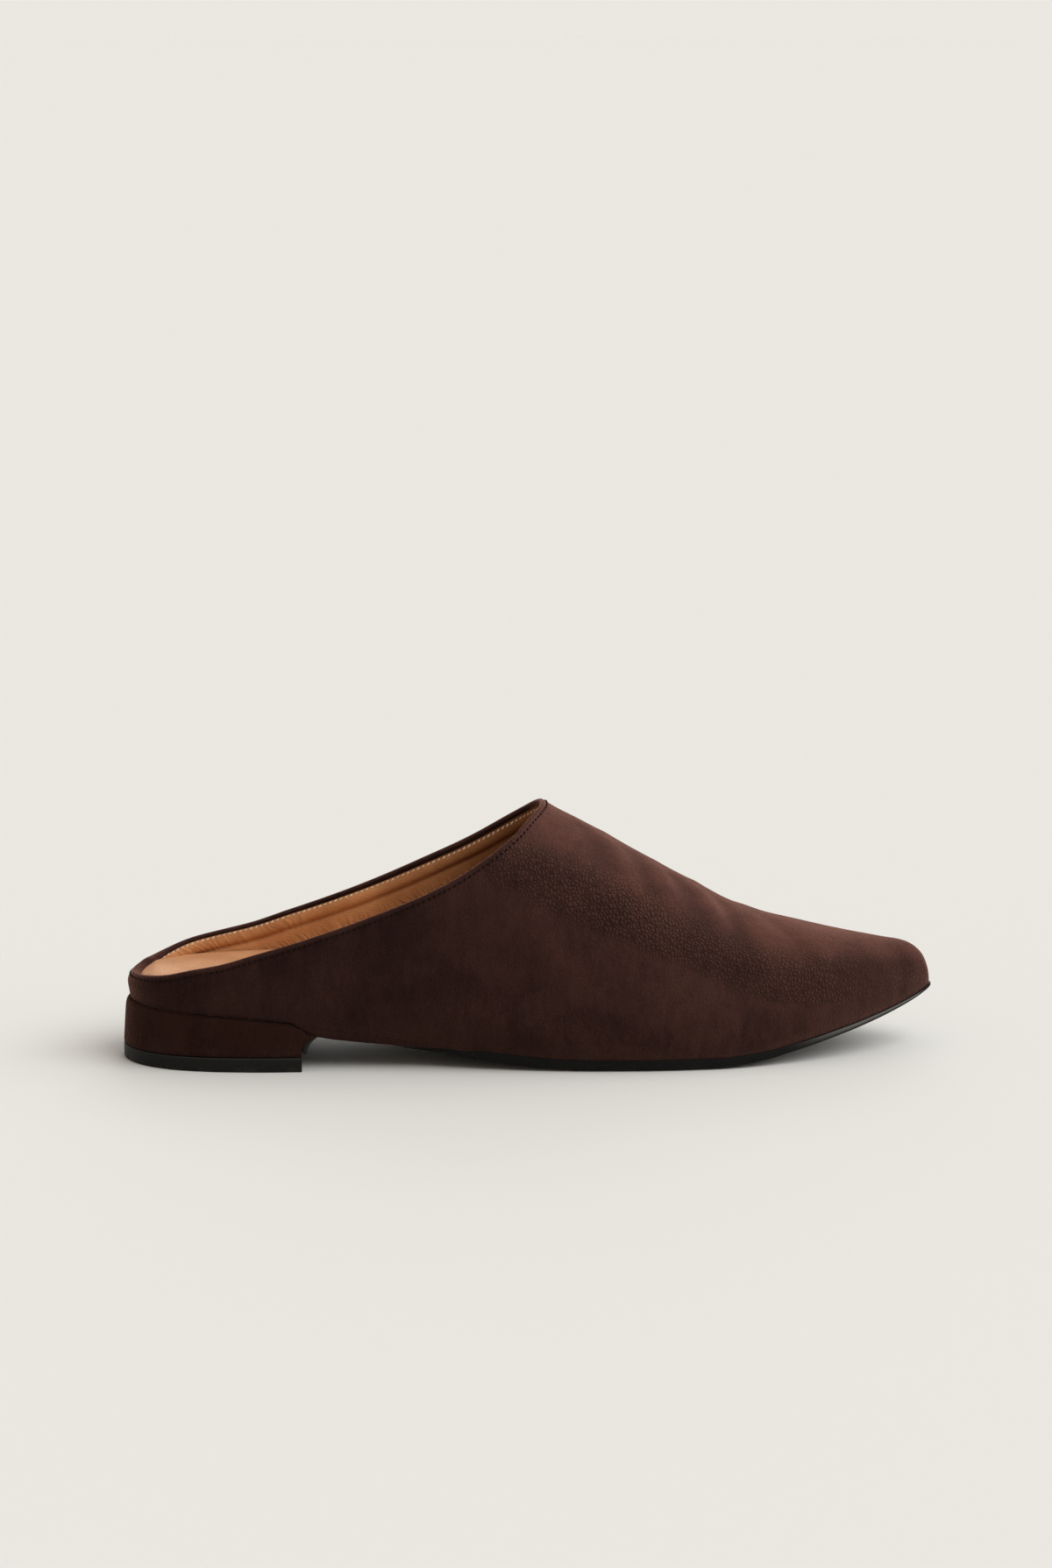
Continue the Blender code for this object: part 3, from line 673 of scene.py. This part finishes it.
# share of the length, how far the foot of the suede hangs below the last's edge on the outer and the inner side: at
# the seat, and on the outer side also over the front corner of the heel and along the waist
coverRows = (
    (0, 0.0013, 0.0013), (0.06, 0.0011, 0.0011), (0.12, 0.0005, 0.0005), (0.17, 0.0001, 0.0001),
    (0.196, 0.0001, 0.0001), (0.204, 0.001, 0.0001), (0.213, 0.0025, 0.0001), (0.222, 0.0037, 0.0001),
    (0.245, 0.0037, 0.0002), (0.262, 0.0035, 0.0003), (0.3, 0.0028, 0.0004), (0.345, 0.0019, 0.0004),
    (0.39, 0.001, 0.0004), (0.44, 0.0009, 0.0004), (0.49, 0.0007, 0.0003), (0.54, 0.0004, 0.0002), (0.6, 0, 0),
    (1, 0, 0),
)
footCover = {outer: through(coverRows, 1), inner: through(coverRows, 2)}


# share of the length, share of the quarter turn at the grain band's lower and upper edge
bandRows = (
    (0.4, 0.44, 0.52), (0.464, 0.44, 0.53), (0.476, 0.436, 0.54), (0.515, 0.428, 0.55), (0.563, 0.42, 0.565),
    (0.605, 0.412, 0.575), (0.644, 0.404, 0.575), (0.671, 0.396, 0.56), (0.71, 0.375, 0.535),
    (0.728, 0.36, 0.525), (0.774, 0.286, 0.5), (0.822, 0.235, 0.49), (0.873, 0.205, 0.5), (0.95, 0.2, 0.53),
    (1, 0.2, 0.54),
)


def bandEdges(share):
    places, lower, upper = zip(*bandRows)
    return np.interp(share, places, lower), np.interp(share, places, upper)


def grainBand(share, turn):
    # the diagonal band along the side of the vamp where the grain shows through the nap
    quarter = turn / (pi / 2)
    lower, upper = bandEdges(share)
    inBand = fadeIn(quarter, lower - 0.03, lower + 0.02) * (1 - fadeIn(quarter, upper - 0.02, upper + 0.17))
    inBand = inBand * fadeIn(share, 0.4, 0.47) * (1 - 0.3 * fadeIn(share, 0.62, 0.74))
    return inBand * (1 - 0.75 * fadeIn(share, 0.84, 0.93))


def napAndPaintedLight(share, turn):
    # partly lighter nap, partly painted light: along the ridge, lit from above, and a little on the side towards
    # the toe, lit from the right
    quarter = turn / (pi / 2)
    lower, upper = bandEdges(share)
    above = fadeIn(quarter, upper - 0.08, upper + 0.18) * fadeIn(share, 0.4, 0.52)
    # painted light on the side: lighter towards the toe and at mid side, where the side turns to the light
    onSide = 0.1 * fadeIn(share, 0.28, 0.5) + 0.24 * fadeIn(share, 0.5, 0.9)
    onSide = onSide + 0.13 * fadeIn(quarter, 0.12, 0.5) * fadeIn(share, 0.22, 0.42) * (1 - fadeIn(share, 0.5, 0.8))
    onSide = onSide + 0.13 * bell(share, 0.6, 0.13) * fadeIn(quarter, 0.1, 0.28)
    onSide = onSide + 0.1 * bell(share, 0.37, 0.06) * fadeIn(quarter, 0.25, 0.45)
    return above + (1 - above) * onSide


def suedeFace(lines, side, rims):
    # one side's outer face, and its foot, which hangs down and turns in under the last
    lengths = lineLengths(lines, side)
    rises = riseRows(suedeUpper["rows"], suedeUpper["lowCrowding"], lengths, suedeUpper["rimDepth"], nearRimRows)
    station, turn = onLines(lines, rises)
    share, quarter = stationShare(station), turn / (pi / 2)
    points = lastPoint(share, turn, side)
    toRim, fromFoot = nearestDistance(points, rims), rises * lengths[:, None]
    stitched = bell(toRim, suedeUpper["stitchDrop"], suedeUpper["stitchReach"])
    rimFade, lowFade = fadeIn(toRim, 0, 0.0009), fadeIn(fromFoot, 0, 0.004)
    ridgeFade = 1 - 0.92 * fadeIn(quarter, 0.88, 0.99)
    creases = (creaseHeight(points, outer) + 0.8 * creaseHeight(points, inner)) * ridgeFade
    fullness = ridgeLift(share) * fadeIn(quarter, 0.45, 1)
    seam = suedeUpper["backSeam"] * bell(points[..., 1], 0, 0.0007) * (points[..., 0] < 0)
    height = (creases + fullness + softUneven(points) * ridgeFade) * fadeIn(toRim, 0.003, 0.012) * lowFade
    height = height - suedeUpper["stitchDip"] * stitched * rimFade - seam * rimFade * lowFade
    height = height * (1 - fadeIn(share, 0.99, 1))
    points = points + outward(station, turn, side) * height[..., None]
    hangs = fadeIn(footCover[side](share), 0.0001, 0.0008)
    # painted shade: along the stitch row, on the foot where it turns under, and in the troughs of the creases
    edge = 0.06 * stitched + 0.5 * (1 - fadeIn(fromFoot, 0, 0.0012)) * (1 - hangs)
    edge = edge + np.clip(-creases / 0.0005, 0, 1) * 0.3
    lit = napAndPaintedLight(share, turn)
    # the face is painted lighter just under the rim
    masks = dict(grainBand=grainBand(share, turn), napAndPaintedLight=np.maximum(lit, 0.22 * bell(toRim, 0, 0.0008)),
                 edgeShade=np.clip(edge, 0, 1))
    drop = footCover[side](stationShare(lines[0]))
    feet = [points[:, 0]]
    for down, inwards in ((0.5, 0.00008), (0.9, 0.00022), (0.98, 0.0005), (1, 0.001), (1, 0.0018)):
        foot = wallPoint(lines[0], 0 * lines[0], side, inwards)
        foot[:, 2] -= down * drop
        feet.append(foot)
    # the foot that hangs down and turns under is painted in shade
    seen, level = 0.5 * (1 - hangs[:, 0]), np.ones(len(drop))
    lowMasks = dict(grainBand=0, napAndPaintedLight=lit[:, :1], edgeShade=np.stack([seen, seen, 0.35 * level] + [level] * 3, 1))
    return (points, masks), (np.stack(feet, 1), lowMasks)


def foldedRim(lines, side, outTop):
    # over the rim and down the inside, where the suede is folded in; at the back the fold is thicker
    share = stationShare(lines[1])[:, None]
    rimDepth = last["wall"] + suedeUpper["backFold"] * (1 - fadeIn(share, 0, 0.06))
    inTop = rimCurve(lines, side, rimDepth[:, 0])
    along = np.gradient(outTop, axis=0)
    along[0] = along[-1] = (0, 1, 0)
    up = np.cross(along, inTop - outTop)
    up *= (np.sign(up[:, 2:3]) * last["wall"] / 2 / np.linalg.norm(up, axis=1, keepdims=True))
    # the back seam's thick end shows as a small bump on the rim
    up = up * (1 + suedeUpper["rimBump"] * bell(share, 0.013, 0.005) * (side == inner)) * suedeUpper["rimRound"]
    over = [(outTop + inTop) / 2 + (outTop - inTop) / 2 * np.cos(a) + up * np.sin(a) for a in np.linspace(0, pi, 9)]
    turned = suedeUpper["turnedIn"] + foldMore(share)
    station, turn = onLines(lines, 1 - np.linspace(0, 1, 8)[None, :] * (turned / lineLengths(lines, side)[:, None]))
    depths = rimDepth - np.array([0] * 7 + [suedeUpper["tucked"]])[None, :]
    # the rim is painted lighter along its top, and more at the back, a painted highlight where the back light
    # catches the rim
    rimLit = 0.26 + 0.2 * (1 - fadeIn(share, 0.01, 0.08))
    return ((np.stack(over, 1), dict(grainBand=0, napAndPaintedLight=rimLit, edgeShade=0)),
            (wallPoint(station, turn, side, depths), dict(grainBand=0, napAndPaintedLight=0, edgeShade=0.35)))


def buildSuede():
    sides = {side: columnLines(side) for side in (outer, inner)}
    rims = wholeRim(sides, 0)
    grids = []
    for side, lines in sides.items():
        grids += suedeFace(lines, side, rims)
        n = weaveLines["back"] + 1
        grids += foldedRim([part[:n] for part in lines], side, grids[-2][0][:n, -1])
    piece = makePiece("suede_upper", grids, suede)
    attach(piece, "root")
    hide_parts("upper")
    return sides


upperLines = buildSuede()
print("suede upper made")

lining = dict(
    rows=44, lowCrowding=1.2, rimDepth=0.012, topDrop=0.0004, topDepth=0.0006, proud=0.00035,
    padWidth=0.0048, padHeight=0.00075, creaseDepth=0.00032, wrinkleHeight=0.00009, behind=0.0002,
)


def liningWaves(points, toRim):
    # short diagonal folds below the padded strip, deeper towards the heel
    x, z = points[..., 0], points[..., 2]
    phase = 2 * pi * (x + 0.9 * z) / 0.0062 + 1.7 * np.sin(190 * x) + 1.1 * np.sin(310 * z + 40 * points[..., 1])
    below = fadeIn(toRim, 0.006, 0.01) * (1 - fadeIn(toRim, 0.03, 0.05))
    return lining["wrinkleHeight"] * np.sin(phase) * (0.4 + 0.6 * np.sin(120 * x + 60 * z) ** 2) * below


def buildLining():
    grids = []
    wall, padWidth = last["wall"], lining["padWidth"]
    rims = wholeRim(upperLines, wall)
    for side, lines in upperLines.items():
        lengths = lineLengths(lines, side)
        n = weaveLines["back"] + 1
        start = np.ones(len(lengths))
        # the lining's edge runs below the folded suede
        topDrop = lining["topDrop"] + foldMore(stationShare(lines[1]))
        start[:n] = 1 - topDrop[:n] / lengths[:n]
        rises = riseRows(lining["rows"], lining["lowCrowding"], lengths, lining["rimDepth"], nearRimRows)
        station, turn = onLines(lines, rises * start[:, None])
        base = wallPoint(station, turn, side, wall)
        toRim = nearestDistance(base, rims)
        fromEdge = np.maximum(toRim - topDrop[:, None], 0)
        pad = lining["padHeight"] * np.sin(pi * np.clip(fromEdge / padWidth, 0, 1)) ** 0.8
        crease = -lining["creaseDepth"] * bell(fromEdge, padWidth, 0.0009)
        depth = wall + lining["proud"] * fadeIn(fromEdge, 0, 0.0004) + pad + crease + liningWaves(base, toRim)
        depth = depth - lining["topDepth"] * (1 - fadeIn(fromEdge, 0, 0.00025)) * (toRim < 0.0045)
        tipFade = 1 - fadeIn(stationShare(station), 0.985, 0.999)
        depth = wall + lining["behind"] + (depth - wall - lining["behind"]) * tipFade
        points = wallPoint(station, turn, side, depth)
        onPad = 1 - fadeIn(fromEdge, 0.004, 0.006)
        wrinkle = fadeIn(fromEdge, 0.006, 0.01) + 0.55 * onPad * (base[..., 0] < 0.03)
        shade = 0.34 * bell(fromEdge, padWidth, 0.0007) + 0.75 * bell(fromEdge, 0, 0.0004)
        shade = shade + 0.85 * fadeIn(base[..., 0], 0.048, 0.105)
        grids.append((points, dict(wrinkle=np.clip(wrinkle, 0, 1), edgeShade=np.clip(shade, 0, 1) * 0.8)))
        back = wallPoint(lines[0], 0 * lines[0], side, wall - lining["behind"])
        grids.append((np.stack((points[:, 0], back), 1), dict(wrinkle=0, edgeShade=0.5)))
    piece = makePiece("lining", grids, liningLeather)
    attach(piece, "root")
    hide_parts("upper")


buildLining()
print("lining made")

# stitches

stitchRows = dict(
    outside=dict(drop=0.00125, depth=-0.00007, pitch=0.00185, length=0.00112, thick=0.00054, slant=radians(10),
                 follows=0),
    inside=dict(drop=0.00095, depth=0.00255, pitch=0.00185, length=0.0015, thick=0.00062, slant=radians(24),
                follows=1),
)


def seamPath(row, depth):
    # points and normals along a line that keeps its distance from the topline, from side to side over the throat
    rims = wholeRim(upperLines, max(depth, 0))
    halves = []
    for side, lines in upperLines.items():
        rises = 1 - np.linspace(0, 1, 90)[None, :] * np.minimum(0.02 / lineLengths(lines, side), 0.9)[:, None]
        station, turn = onLines(lines, rises)
        toRim = nearestDistance(wallPoint(station, turn, side, depth), rims)
        found = []
        for i, drop in enumerate(row["drop"] + row["follows"] * foldMore(stationShare(lines[1]))):
            if toRim[i, 0] > drop:
                break
            j = int(np.argmax(toRim[i] > drop))
            if j:
                t = (drop - toRim[i, j - 1]) / (toRim[i, j] - toRim[i, j - 1])
                found.append([part[i, j - 1] * (1 - t) + part[i, j] * t for part in (station, turn)] + [side])
        halves.append(found)
    station, turn, side = np.array(halves[0] + halves[1][::-1]).T
    return wallPoint(station, turn, side, depth), outward(station, turn, side)


def buildStitches(name, row, material, facing):
    points, normals = seamPath(row, row["depth"])
    lengths = travelled(points)
    count = int(lengths[-1] / row["pitch"])
    at = (np.arange(count) + 0.5) * lengths[-1] / count

    def sample(values, places):
        return np.stack([np.interp(places, lengths, values[:, k]) for k in range(3)], 1)

    centre, normal = sample(points, at), sample(normals, at) * facing
    heading = sample(points, at + 0.0005) - sample(points, at - 0.0005)
    ringCount, corners = 7, 8
    work = bmesh.new()
    for i in range(count):
        along = Vector(heading[i]).normalized()
        out = Vector(normal[i]).normalized()
        across = out.cross(along).normalized()
        out = along.cross(across)
        along = along * np.cos(row["slant"]) + across * np.sin(row["slant"])
        across = out.cross(along)
        rings = []
        for a in range(ringCount):
            t = a / (ringCount - 1) * 2 - 1
            radius = row["thick"] / 2 * (max(1 - t * t, 0) ** 0.35 * 0.9 + 0.1)
            lift = row["thick"] * (0.3 * (1 - t * t) - 0.18)
            middle = Vector(centre[i]) + along * (t * row["length"] / 2) + out * lift
            rings.append([work.verts.new(middle + (across * np.cos(b) + out * np.sin(b)) * radius)
                          for b in np.arange(corners) * 2 * pi / corners])
        for first, second in zip(rings, rings[1:]):
            for b in range(corners):
                c = (b + 1) % corners
                work.faces.new((first[b], first[c], second[c], second[b]))
        work.faces.new(rings[0][::-1])
        work.faces.new(rings[-1])
    bmesh.ops.recalc_face_normals(work, faces=work.faces)
    piece = addPiece(name, work, material)
    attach(piece, "root")
    print(name, count, "stitches")


buildStitches("topline_stitches", stitchRows["outside"], darkThread, 1)
buildStitches("lining_stitches", stitchRows["inside"], creamThread, -1)

# footbed

footbed = dict(strips=44, dish=0.0007, edgeRound=0.0014, edgeDrop=0.0004, clear=0.0006)


def buildFootbed():
    depth = last["wall"] + footbed["clear"]
    edges, lows, ends = [], [], []
    for side, lines in upperLines.items():
        def covered(rise):
            point = wallPoint(lines[0] + (lines[1] - lines[0]) * rise, lines[2] * rise, side, depth)
            return point[:, 2] >= footbedTop(point[:, 0])

        rise = solve(covered, lines[0].shape)
        ends.append(int(np.argmax((rise > 0.999) & (np.arange(len(rise)) > weaveLines["back"]))))
        station, turn = onLines(lines, rise[:, None])
        edges.append(wallPoint(station[:, 0], turn[:, 0], side, depth))
        lows.append(wallPoint(lines[0], 0 * lines[0], side, depth))
    a, b, lowA, lowB = (curve[:min(ends)] for curve in edges + lows)
    t = (1 - np.cos(np.linspace(0, pi, footbed["strips"] + 1))) / 2
    top = a[:, None] + (b - a)[:, None] * t[None, :, None]
    width = np.linalg.norm(b - a, axis=1)[:, None]
    fromEdge = np.minimum(np.minimum(t, 1 - t)[None, :] * width, top[..., 0] - top[0, 0, 0])
    top[..., 2] -= footbed["dish"] * np.sin(pi * t)[None, :] * np.minimum(1, width / last["heelWidth"])
    roundOff = 1 - np.sqrt(np.clip(1 - (1 - np.clip(fromEdge / footbed["edgeRound"], 0, 1)) ** 2, 0, 1))
    top[..., 2] -= footbed["edgeDrop"] * roundOff
    masks = dict(wrinkle=0.25 * bell(fromEdge, 0, 0.006), edgeShade=0.6 * bell(fromEdge, 0, 0.0012))
    front = np.linspace(lowA[-1], lowB[-1], footbed["strips"] + 1)
    walls = (lowA, lowB), (top[:, 0], lowA), (top[:, -1], lowB), (top[-1], front)
    grids = [(top, masks)] + [(np.stack(pair, 1), dict(wrinkle=0, edgeShade=0.6)) for pair in walls]
    piece = makePiece("footbed", grids, footbedLeather)
    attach(piece, "root")
    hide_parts("insole")


buildFootbed()
print("footbed made")

# sole, heel and lift

outsole = dict(stations=150, flapSteps=22, topRound=0.00035, lowRound=0.0006, arcs=7, lip=0.001, settle=0.9,
               ballRise=0.0006, ballReach=0.0042)  # the lower edge is rounded more under the ball
flapEnd = last["heelLength"] + last["gap"] + last["flapThickness"] + last["breastRadius"]


def breastPoint(angle):
    low = last["liftThickness"] + last["gap"]
    reach = last["breastRadius"] + last["flapThickness"]
    top = bottomHeight((flapEnd - reach * np.cos(last["flapTurn"])) / last["length"]) - last["gap"]
    return flapEnd - reach * np.cos(angle), low + (top - low) / np.sin(last["flapTurn"]) * np.sin(angle)


def soleHalfWidth(share, side):
    edge = halfWidth(share * last["length"] / (last["length"] + last["soleEdge"]), side)
    return np.maximum(edge - soleInset(share) * np.minimum(1, edge / (last["heelWidth"] / 4)), 0)


def soleRing(top, bottom, share, camber):
    # from the middle of the top, round the edge, to the middle of the underside, on both sides
    ring = []
    depth = float(np.hypot(top[0] - bottom[0], top[1] - bottom[1]))
    # under the ball a low lip of the sole covers the foot of the suede, and its edge has settled on the floor
    ball = float(fadeIn(share, 0.36, 0.5) * (1 - fadeIn(share, 0.72, 0.86)))
    lip, settle = outsole["lip"] * ball, outsole["settle"] * camber * ball
    for side in (outer, inner):
        edge = float(soleHalfWidth(share, side)) + 0.3 * lip
        topRound = min(outsole["topRound"], edge * 0.4)
        rise = min(outsole["lowRound"] + outsole["ballRise"] * ball, edge * 0.4, depth * 0.42)
        reach = min(outsole["lowRound"] + outsole["ballReach"] * ball, edge * 0.4)
        half = [(0, 0, 0), (edge * 0.5, 0, 0)]
        for a in np.linspace(0, pi / 2, 4):
            half.append((edge - topRound + topRound * sin(a), (topRound * (1 - np.cos(a)) - lip) / depth, 0))
        for a in np.linspace(0, pi / 2, outsole["arcs"]):
            half.append((edge - reach + reach * np.cos(a), 1 - rise * (1 - sin(a)) / depth, 0))
        for t, drop in ((0.8, 0.36), (0.55, 0.7), (0.28, 0.92), (0, 1)):
            half.append((min(edge * t, edge - reach), 1, drop))
        half = [(y * side, t, drop) for y, t, drop in half]
        ring += half if side == outer else half[::-1]
    return [(top[0] + (bottom[0] - top[0]) * t - originX, y,
             top[1] + (bottom[1] - top[1]) * t - camber * drop - settle * (1 - drop) * min(max(t, 0), 1))
            for y, t, drop in ring]


def buildOutsole():
    rings = []
    low = last["liftThickness"] + last["gap"]
    under = float(bottomHeight(flapEnd / last["length"])) - last["soleThickness"]
    for i in range(outsole["flapSteps"] + 1):
        angle = last["flapTurn"] * i / outsole["flapSteps"]
        steep = pi / 2 * i / outsole["flapSteps"]
        top = [float(v) for v in breastPoint(angle)]
        bottom = (flapEnd - last["breastRadius"] * np.cos(steep), low + (under - low) * sin(steep))
        share = top[0] / last["length"]
        rings.append(soleRing(top, bottom, share, float(soleCamber(share)) * sin(steep) ** 2))
    end = (last["length"] + last["soleEdge"]) / last["length"]
    first = stationOf(flapEnd / end)
    for i in range(1, outsole["stations"] + 1):
        share = float(stationShare(first + (1 - first) * i / outsole["stations"])) * end
        x, height = share * last["length"], float(bottomHeight(share))
        rings.append(soleRing((x, height - last["gap"]), (x, height - float(soleDepth(share))), share,
                              float(soleCamber(share))))
    points = np.array(rings)
    # painted highlight along the cut top edge towards the toe, where its rounding catches the light
    half = [0] * 3 + [0.35, 0.8, 1, 0.25] + [0] * (outsole["arcs"] + 3)
    places = (points[..., 0] + originX) / last["length"]
    paleEdge = np.array(half + half[::-1])[None, :] * fadeIn(places, 0.8, 0.9) * (1 - fadeIn(places, 0.975, 0.995))
    # painted highlight on the flap's cut side, a lit facet
    flapHalf = [0] * 3 + [0.2] * (outsole["arcs"] + 2) + [0] * 5
    flap = 1 - fadeIn(np.arange(len(rings))[:, None], outsole["flapSteps"] * 0.85, outsole["flapSteps"] * 1.05)
    paleEdge = np.maximum(paleEdge, np.array(flapHalf + flapHalf[::-1])[None, :] * flap)
    piece = makePiece("sole", [(points, dict(paleEdgeMask=paleEdge))], soleRubber, fills=[points[0]])
    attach(piece, "root")
    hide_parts("outsole")


buildOutsole()
print("sole made")

heelSteps = 72
# share of the way up to the seat, share of the ledge
heelLevels = (
    (0, 0.8), (0.012, 0.93), (0.03, 1), (0.12, 1), (0.24, 1), (0.36, 1), (0.48, 1), (0.6, 1), (0.7, 0.99),
    (0.78, 0.975), (0.84, 0.94), (0.885, 0.88), (0.92, 0.8), (0.95, 0.66), (0.972, 0.5), (0.988, 0.32),
    (1, 0.1),
)


def heelTop(x, side):
    # the cover's top edge lies lower than the seat where the foot of the suede hangs over it
    share = x / last["length"]
    return bottomHeight(share) - last["gap"] - 0.9 * footCover[side](share)


def heelRing(height, outset, front):
    back = -outset
    x = back + (front - back) * (1 - np.cos(pi / 2 * np.linspace(0, 1, heelSteps + 1)))
    share = (x - back) / (front - back) * front / last["length"]
    rows = []
    for side in (outer, inner):
        y = halfWidth(share, side) * (1 + outset / (last["heelWidth"] / 2)) * side
        rows.append(np.stack((x - originX, y, height(x, side)), 1))
    return np.concatenate((rows[0][::-1], rows[1][1:]))


def buildHeel():
    levels = []
    floorSide = last["liftThickness"] + last["gap"]
    for risen, ledge in heelLevels:
        front = float(breastPoint(np.arcsin(risen * np.sin(last["flapTurn"])))[0]) - last["gap"] * (1 + risen)
        outset = last["heelLedge"] * ledge + last["heelFlare"] * (1 - risen)
        levels.append(heelRing(lambda x, side: floorSide + (heelTop(x, side) - floorSide) * risen, outset, front))
    sides = np.stack(levels, 1)
    shade = np.array([0.9, 0.5, 0.15] + [0] * (len(heelLevels) - 6) + [0.25, 0.5, 0.8])[None, :]
    # painted light round the back, where the heel cover turns to the light from behind
    brushed = 0.1 * (1 - fadeIn(sides[..., 0], -0.022, 0.004))
    piece = makePiece("heel_cover", [(sides, dict(grainBand=0.05, napAndPaintedLight=brushed, edgeShade=shade)),
                                     (sides[[0, -1]], dict(grainBand=0, napAndPaintedLight=0, edgeShade=0.4))], heelSuede,
                      fills=(sides[:, 0], sides[:, -1]))
    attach(piece, "root")
    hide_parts("heel")


def buildLift():
    outset = last["heelLedge"] + last["heelFlare"]
    levels = []
    # height as a share of the thickness, how far the edge is drawn in
    for up, drawn in ((0, 0.0005), (0.03, 0.00022), (0.08, 0.00004), (0.14, 0), (0.5, 0), (0.86, 0),
                      (0.93, 0.00006), (0.98, 0.00018), (1, 0.0004)):
        z = up * last["liftThickness"]
        front = last["heelLength"] - drawn * 0.6
        levels.append(heelRing(lambda x, side: np.full(x.shape, z), outset - drawn, front))
    sides = np.stack(levels, 1)
    # paler along the top edge
    paleEdge = np.array([0] * 5 + [0.1, 0.5, 0.6, 0.3])[None, :]
    piece = makePiece("top_piece", [(sides, dict(paleEdgeMask=paleEdge)), (sides[[0, -1]], dict(paleEdgeMask=0))], liftRubber,
                      fills=(sides[:, 0], sides[:, -1]))
    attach(piece, "root")
    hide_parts("heel_lift")


buildHeel()
buildLift()
for name in ("sole", "heel_cover", "top_piece"):
    bpy.data.objects[name].data.set_sharp_from_angle(angle=radians(38))
print("heel made")

# floor, light and camera

studio = dict(floorSize=400, floorColour=(0.757, 0.751, 0.725), skyColour=(0.826, 0.803, 0.749),
              airColour=(1.1, 0.985, 0.86), ambient=0.34, sunColour=(0.965, 0.985, 1))
# where each soft light stands as seen from the shoe, its spread and its power
studioLights = (
    ("soft_key_light", (0.52, -0.38, 0.77), radians(50), 1.62),
    ("back_light", (0.32, 0.52, 0.79), radians(64), 0.56),
    ("low_back_light", (0.15, 0.94, 0.3), radians(36), 0.75),
    ("low_right_light", (0.93, -0.06, 0.38), radians(50), 1.12),
)


def buildStudio():
    mesh = bpy.data.meshes.new("studio_floor")
    half = studio["floorSize"] / 2
    mesh.from_pydata([(-half, -half, 0), (half, -half, 0), (half, half, 0), (-half, half, 0)], [], [(0, 1, 2, 3)])
    floorLook = {"Base Color": studio["floorColour"], "Roughness": 0.9, "Specular IOR Level": 0}
    mesh.materials.append(surface(startMaterial("PaleFloor")[0], floorLook))
    floor = addObject("studio_floor", mesh)
    world = bpy.data.worlds.new("StudioAir")
    bpy.context.scene.world = world
    world.use_nodes = True
    tree = world.node_tree
    lit = setSockets(tree, tree.nodes["Background"], {0: studio["airColour"], 1: studio["ambient"]})
    seen = addNode(tree, "Background", {0: studio["skyColour"]})
    cameraRay = addNode(tree, "LightPath", {}).outputs["Is Camera Ray"]
    mix = addNode(tree, "MixShader", {0: cameraRay, 1: lit.outputs[0], 2: seen.outputs[0]})
    tree.links.new(mix.outputs[0], tree.nodes["World Output"].inputs[0])
    for name, stands, spread, power in studioLights:
        sun = bpy.data.lights.new(name, "SUN")
        sun.energy, sun.angle, sun.color = power, spread, studio["sunColour"]
        addObject(name, sun).rotation_euler = Vector(stands).to_track_quat("Z", "Y").to_euler()
    scene = bpy.context.scene
    scene.view_settings.view_transform = "Standard"
    scene.view_settings.look = "None"


buildStudio()

# the photograph is 1200 by 1789; the target point shows at targetPixel
photoView = dict(distance=1.3, elevation=radians(13), azimuth=radians(-4.3), pixelsPerMetre=3470,
                 target=(0.132, 0, 0.035), targetPixel=(607, 1076.3), width=1200, height=1789, sensor=36)


def buildCamera():
    e, a = photoView["elevation"], photoView["azimuth"]
    back = Vector((sin(a) * np.cos(e), -np.cos(a) * np.cos(e), sin(e)))
    target = Vector(photoView["target"]) - Vector((originX, 0, 0))
    camera = bpy.data.cameras.new("photo_camera")
    camera.sensor_width = photoView["sensor"]
    camera.lens = photoView["pixelsPerMetre"] * photoView["distance"] / photoView["height"] * photoView["sensor"]
    camera.shift_x = (photoView["width"] / 2 - photoView["targetPixel"][0]) / photoView["height"]
    camera.shift_y = (photoView["targetPixel"][1] - photoView["height"] / 2) / photoView["height"]
    camera.clip_start, camera.clip_end = 0.01, 1000
    holder = addObject("photo_camera", camera)
    right = (-back).cross(Vector((0, 0, 1))).normalized()
    up = right.cross(-back)
    holder.matrix_world = Matrix((right, up, back)).transposed().to_4x4()
    holder.location = target + back * photoView["distance"]
    bpy.context.scene.camera = holder


buildCamera()
print("studio made")
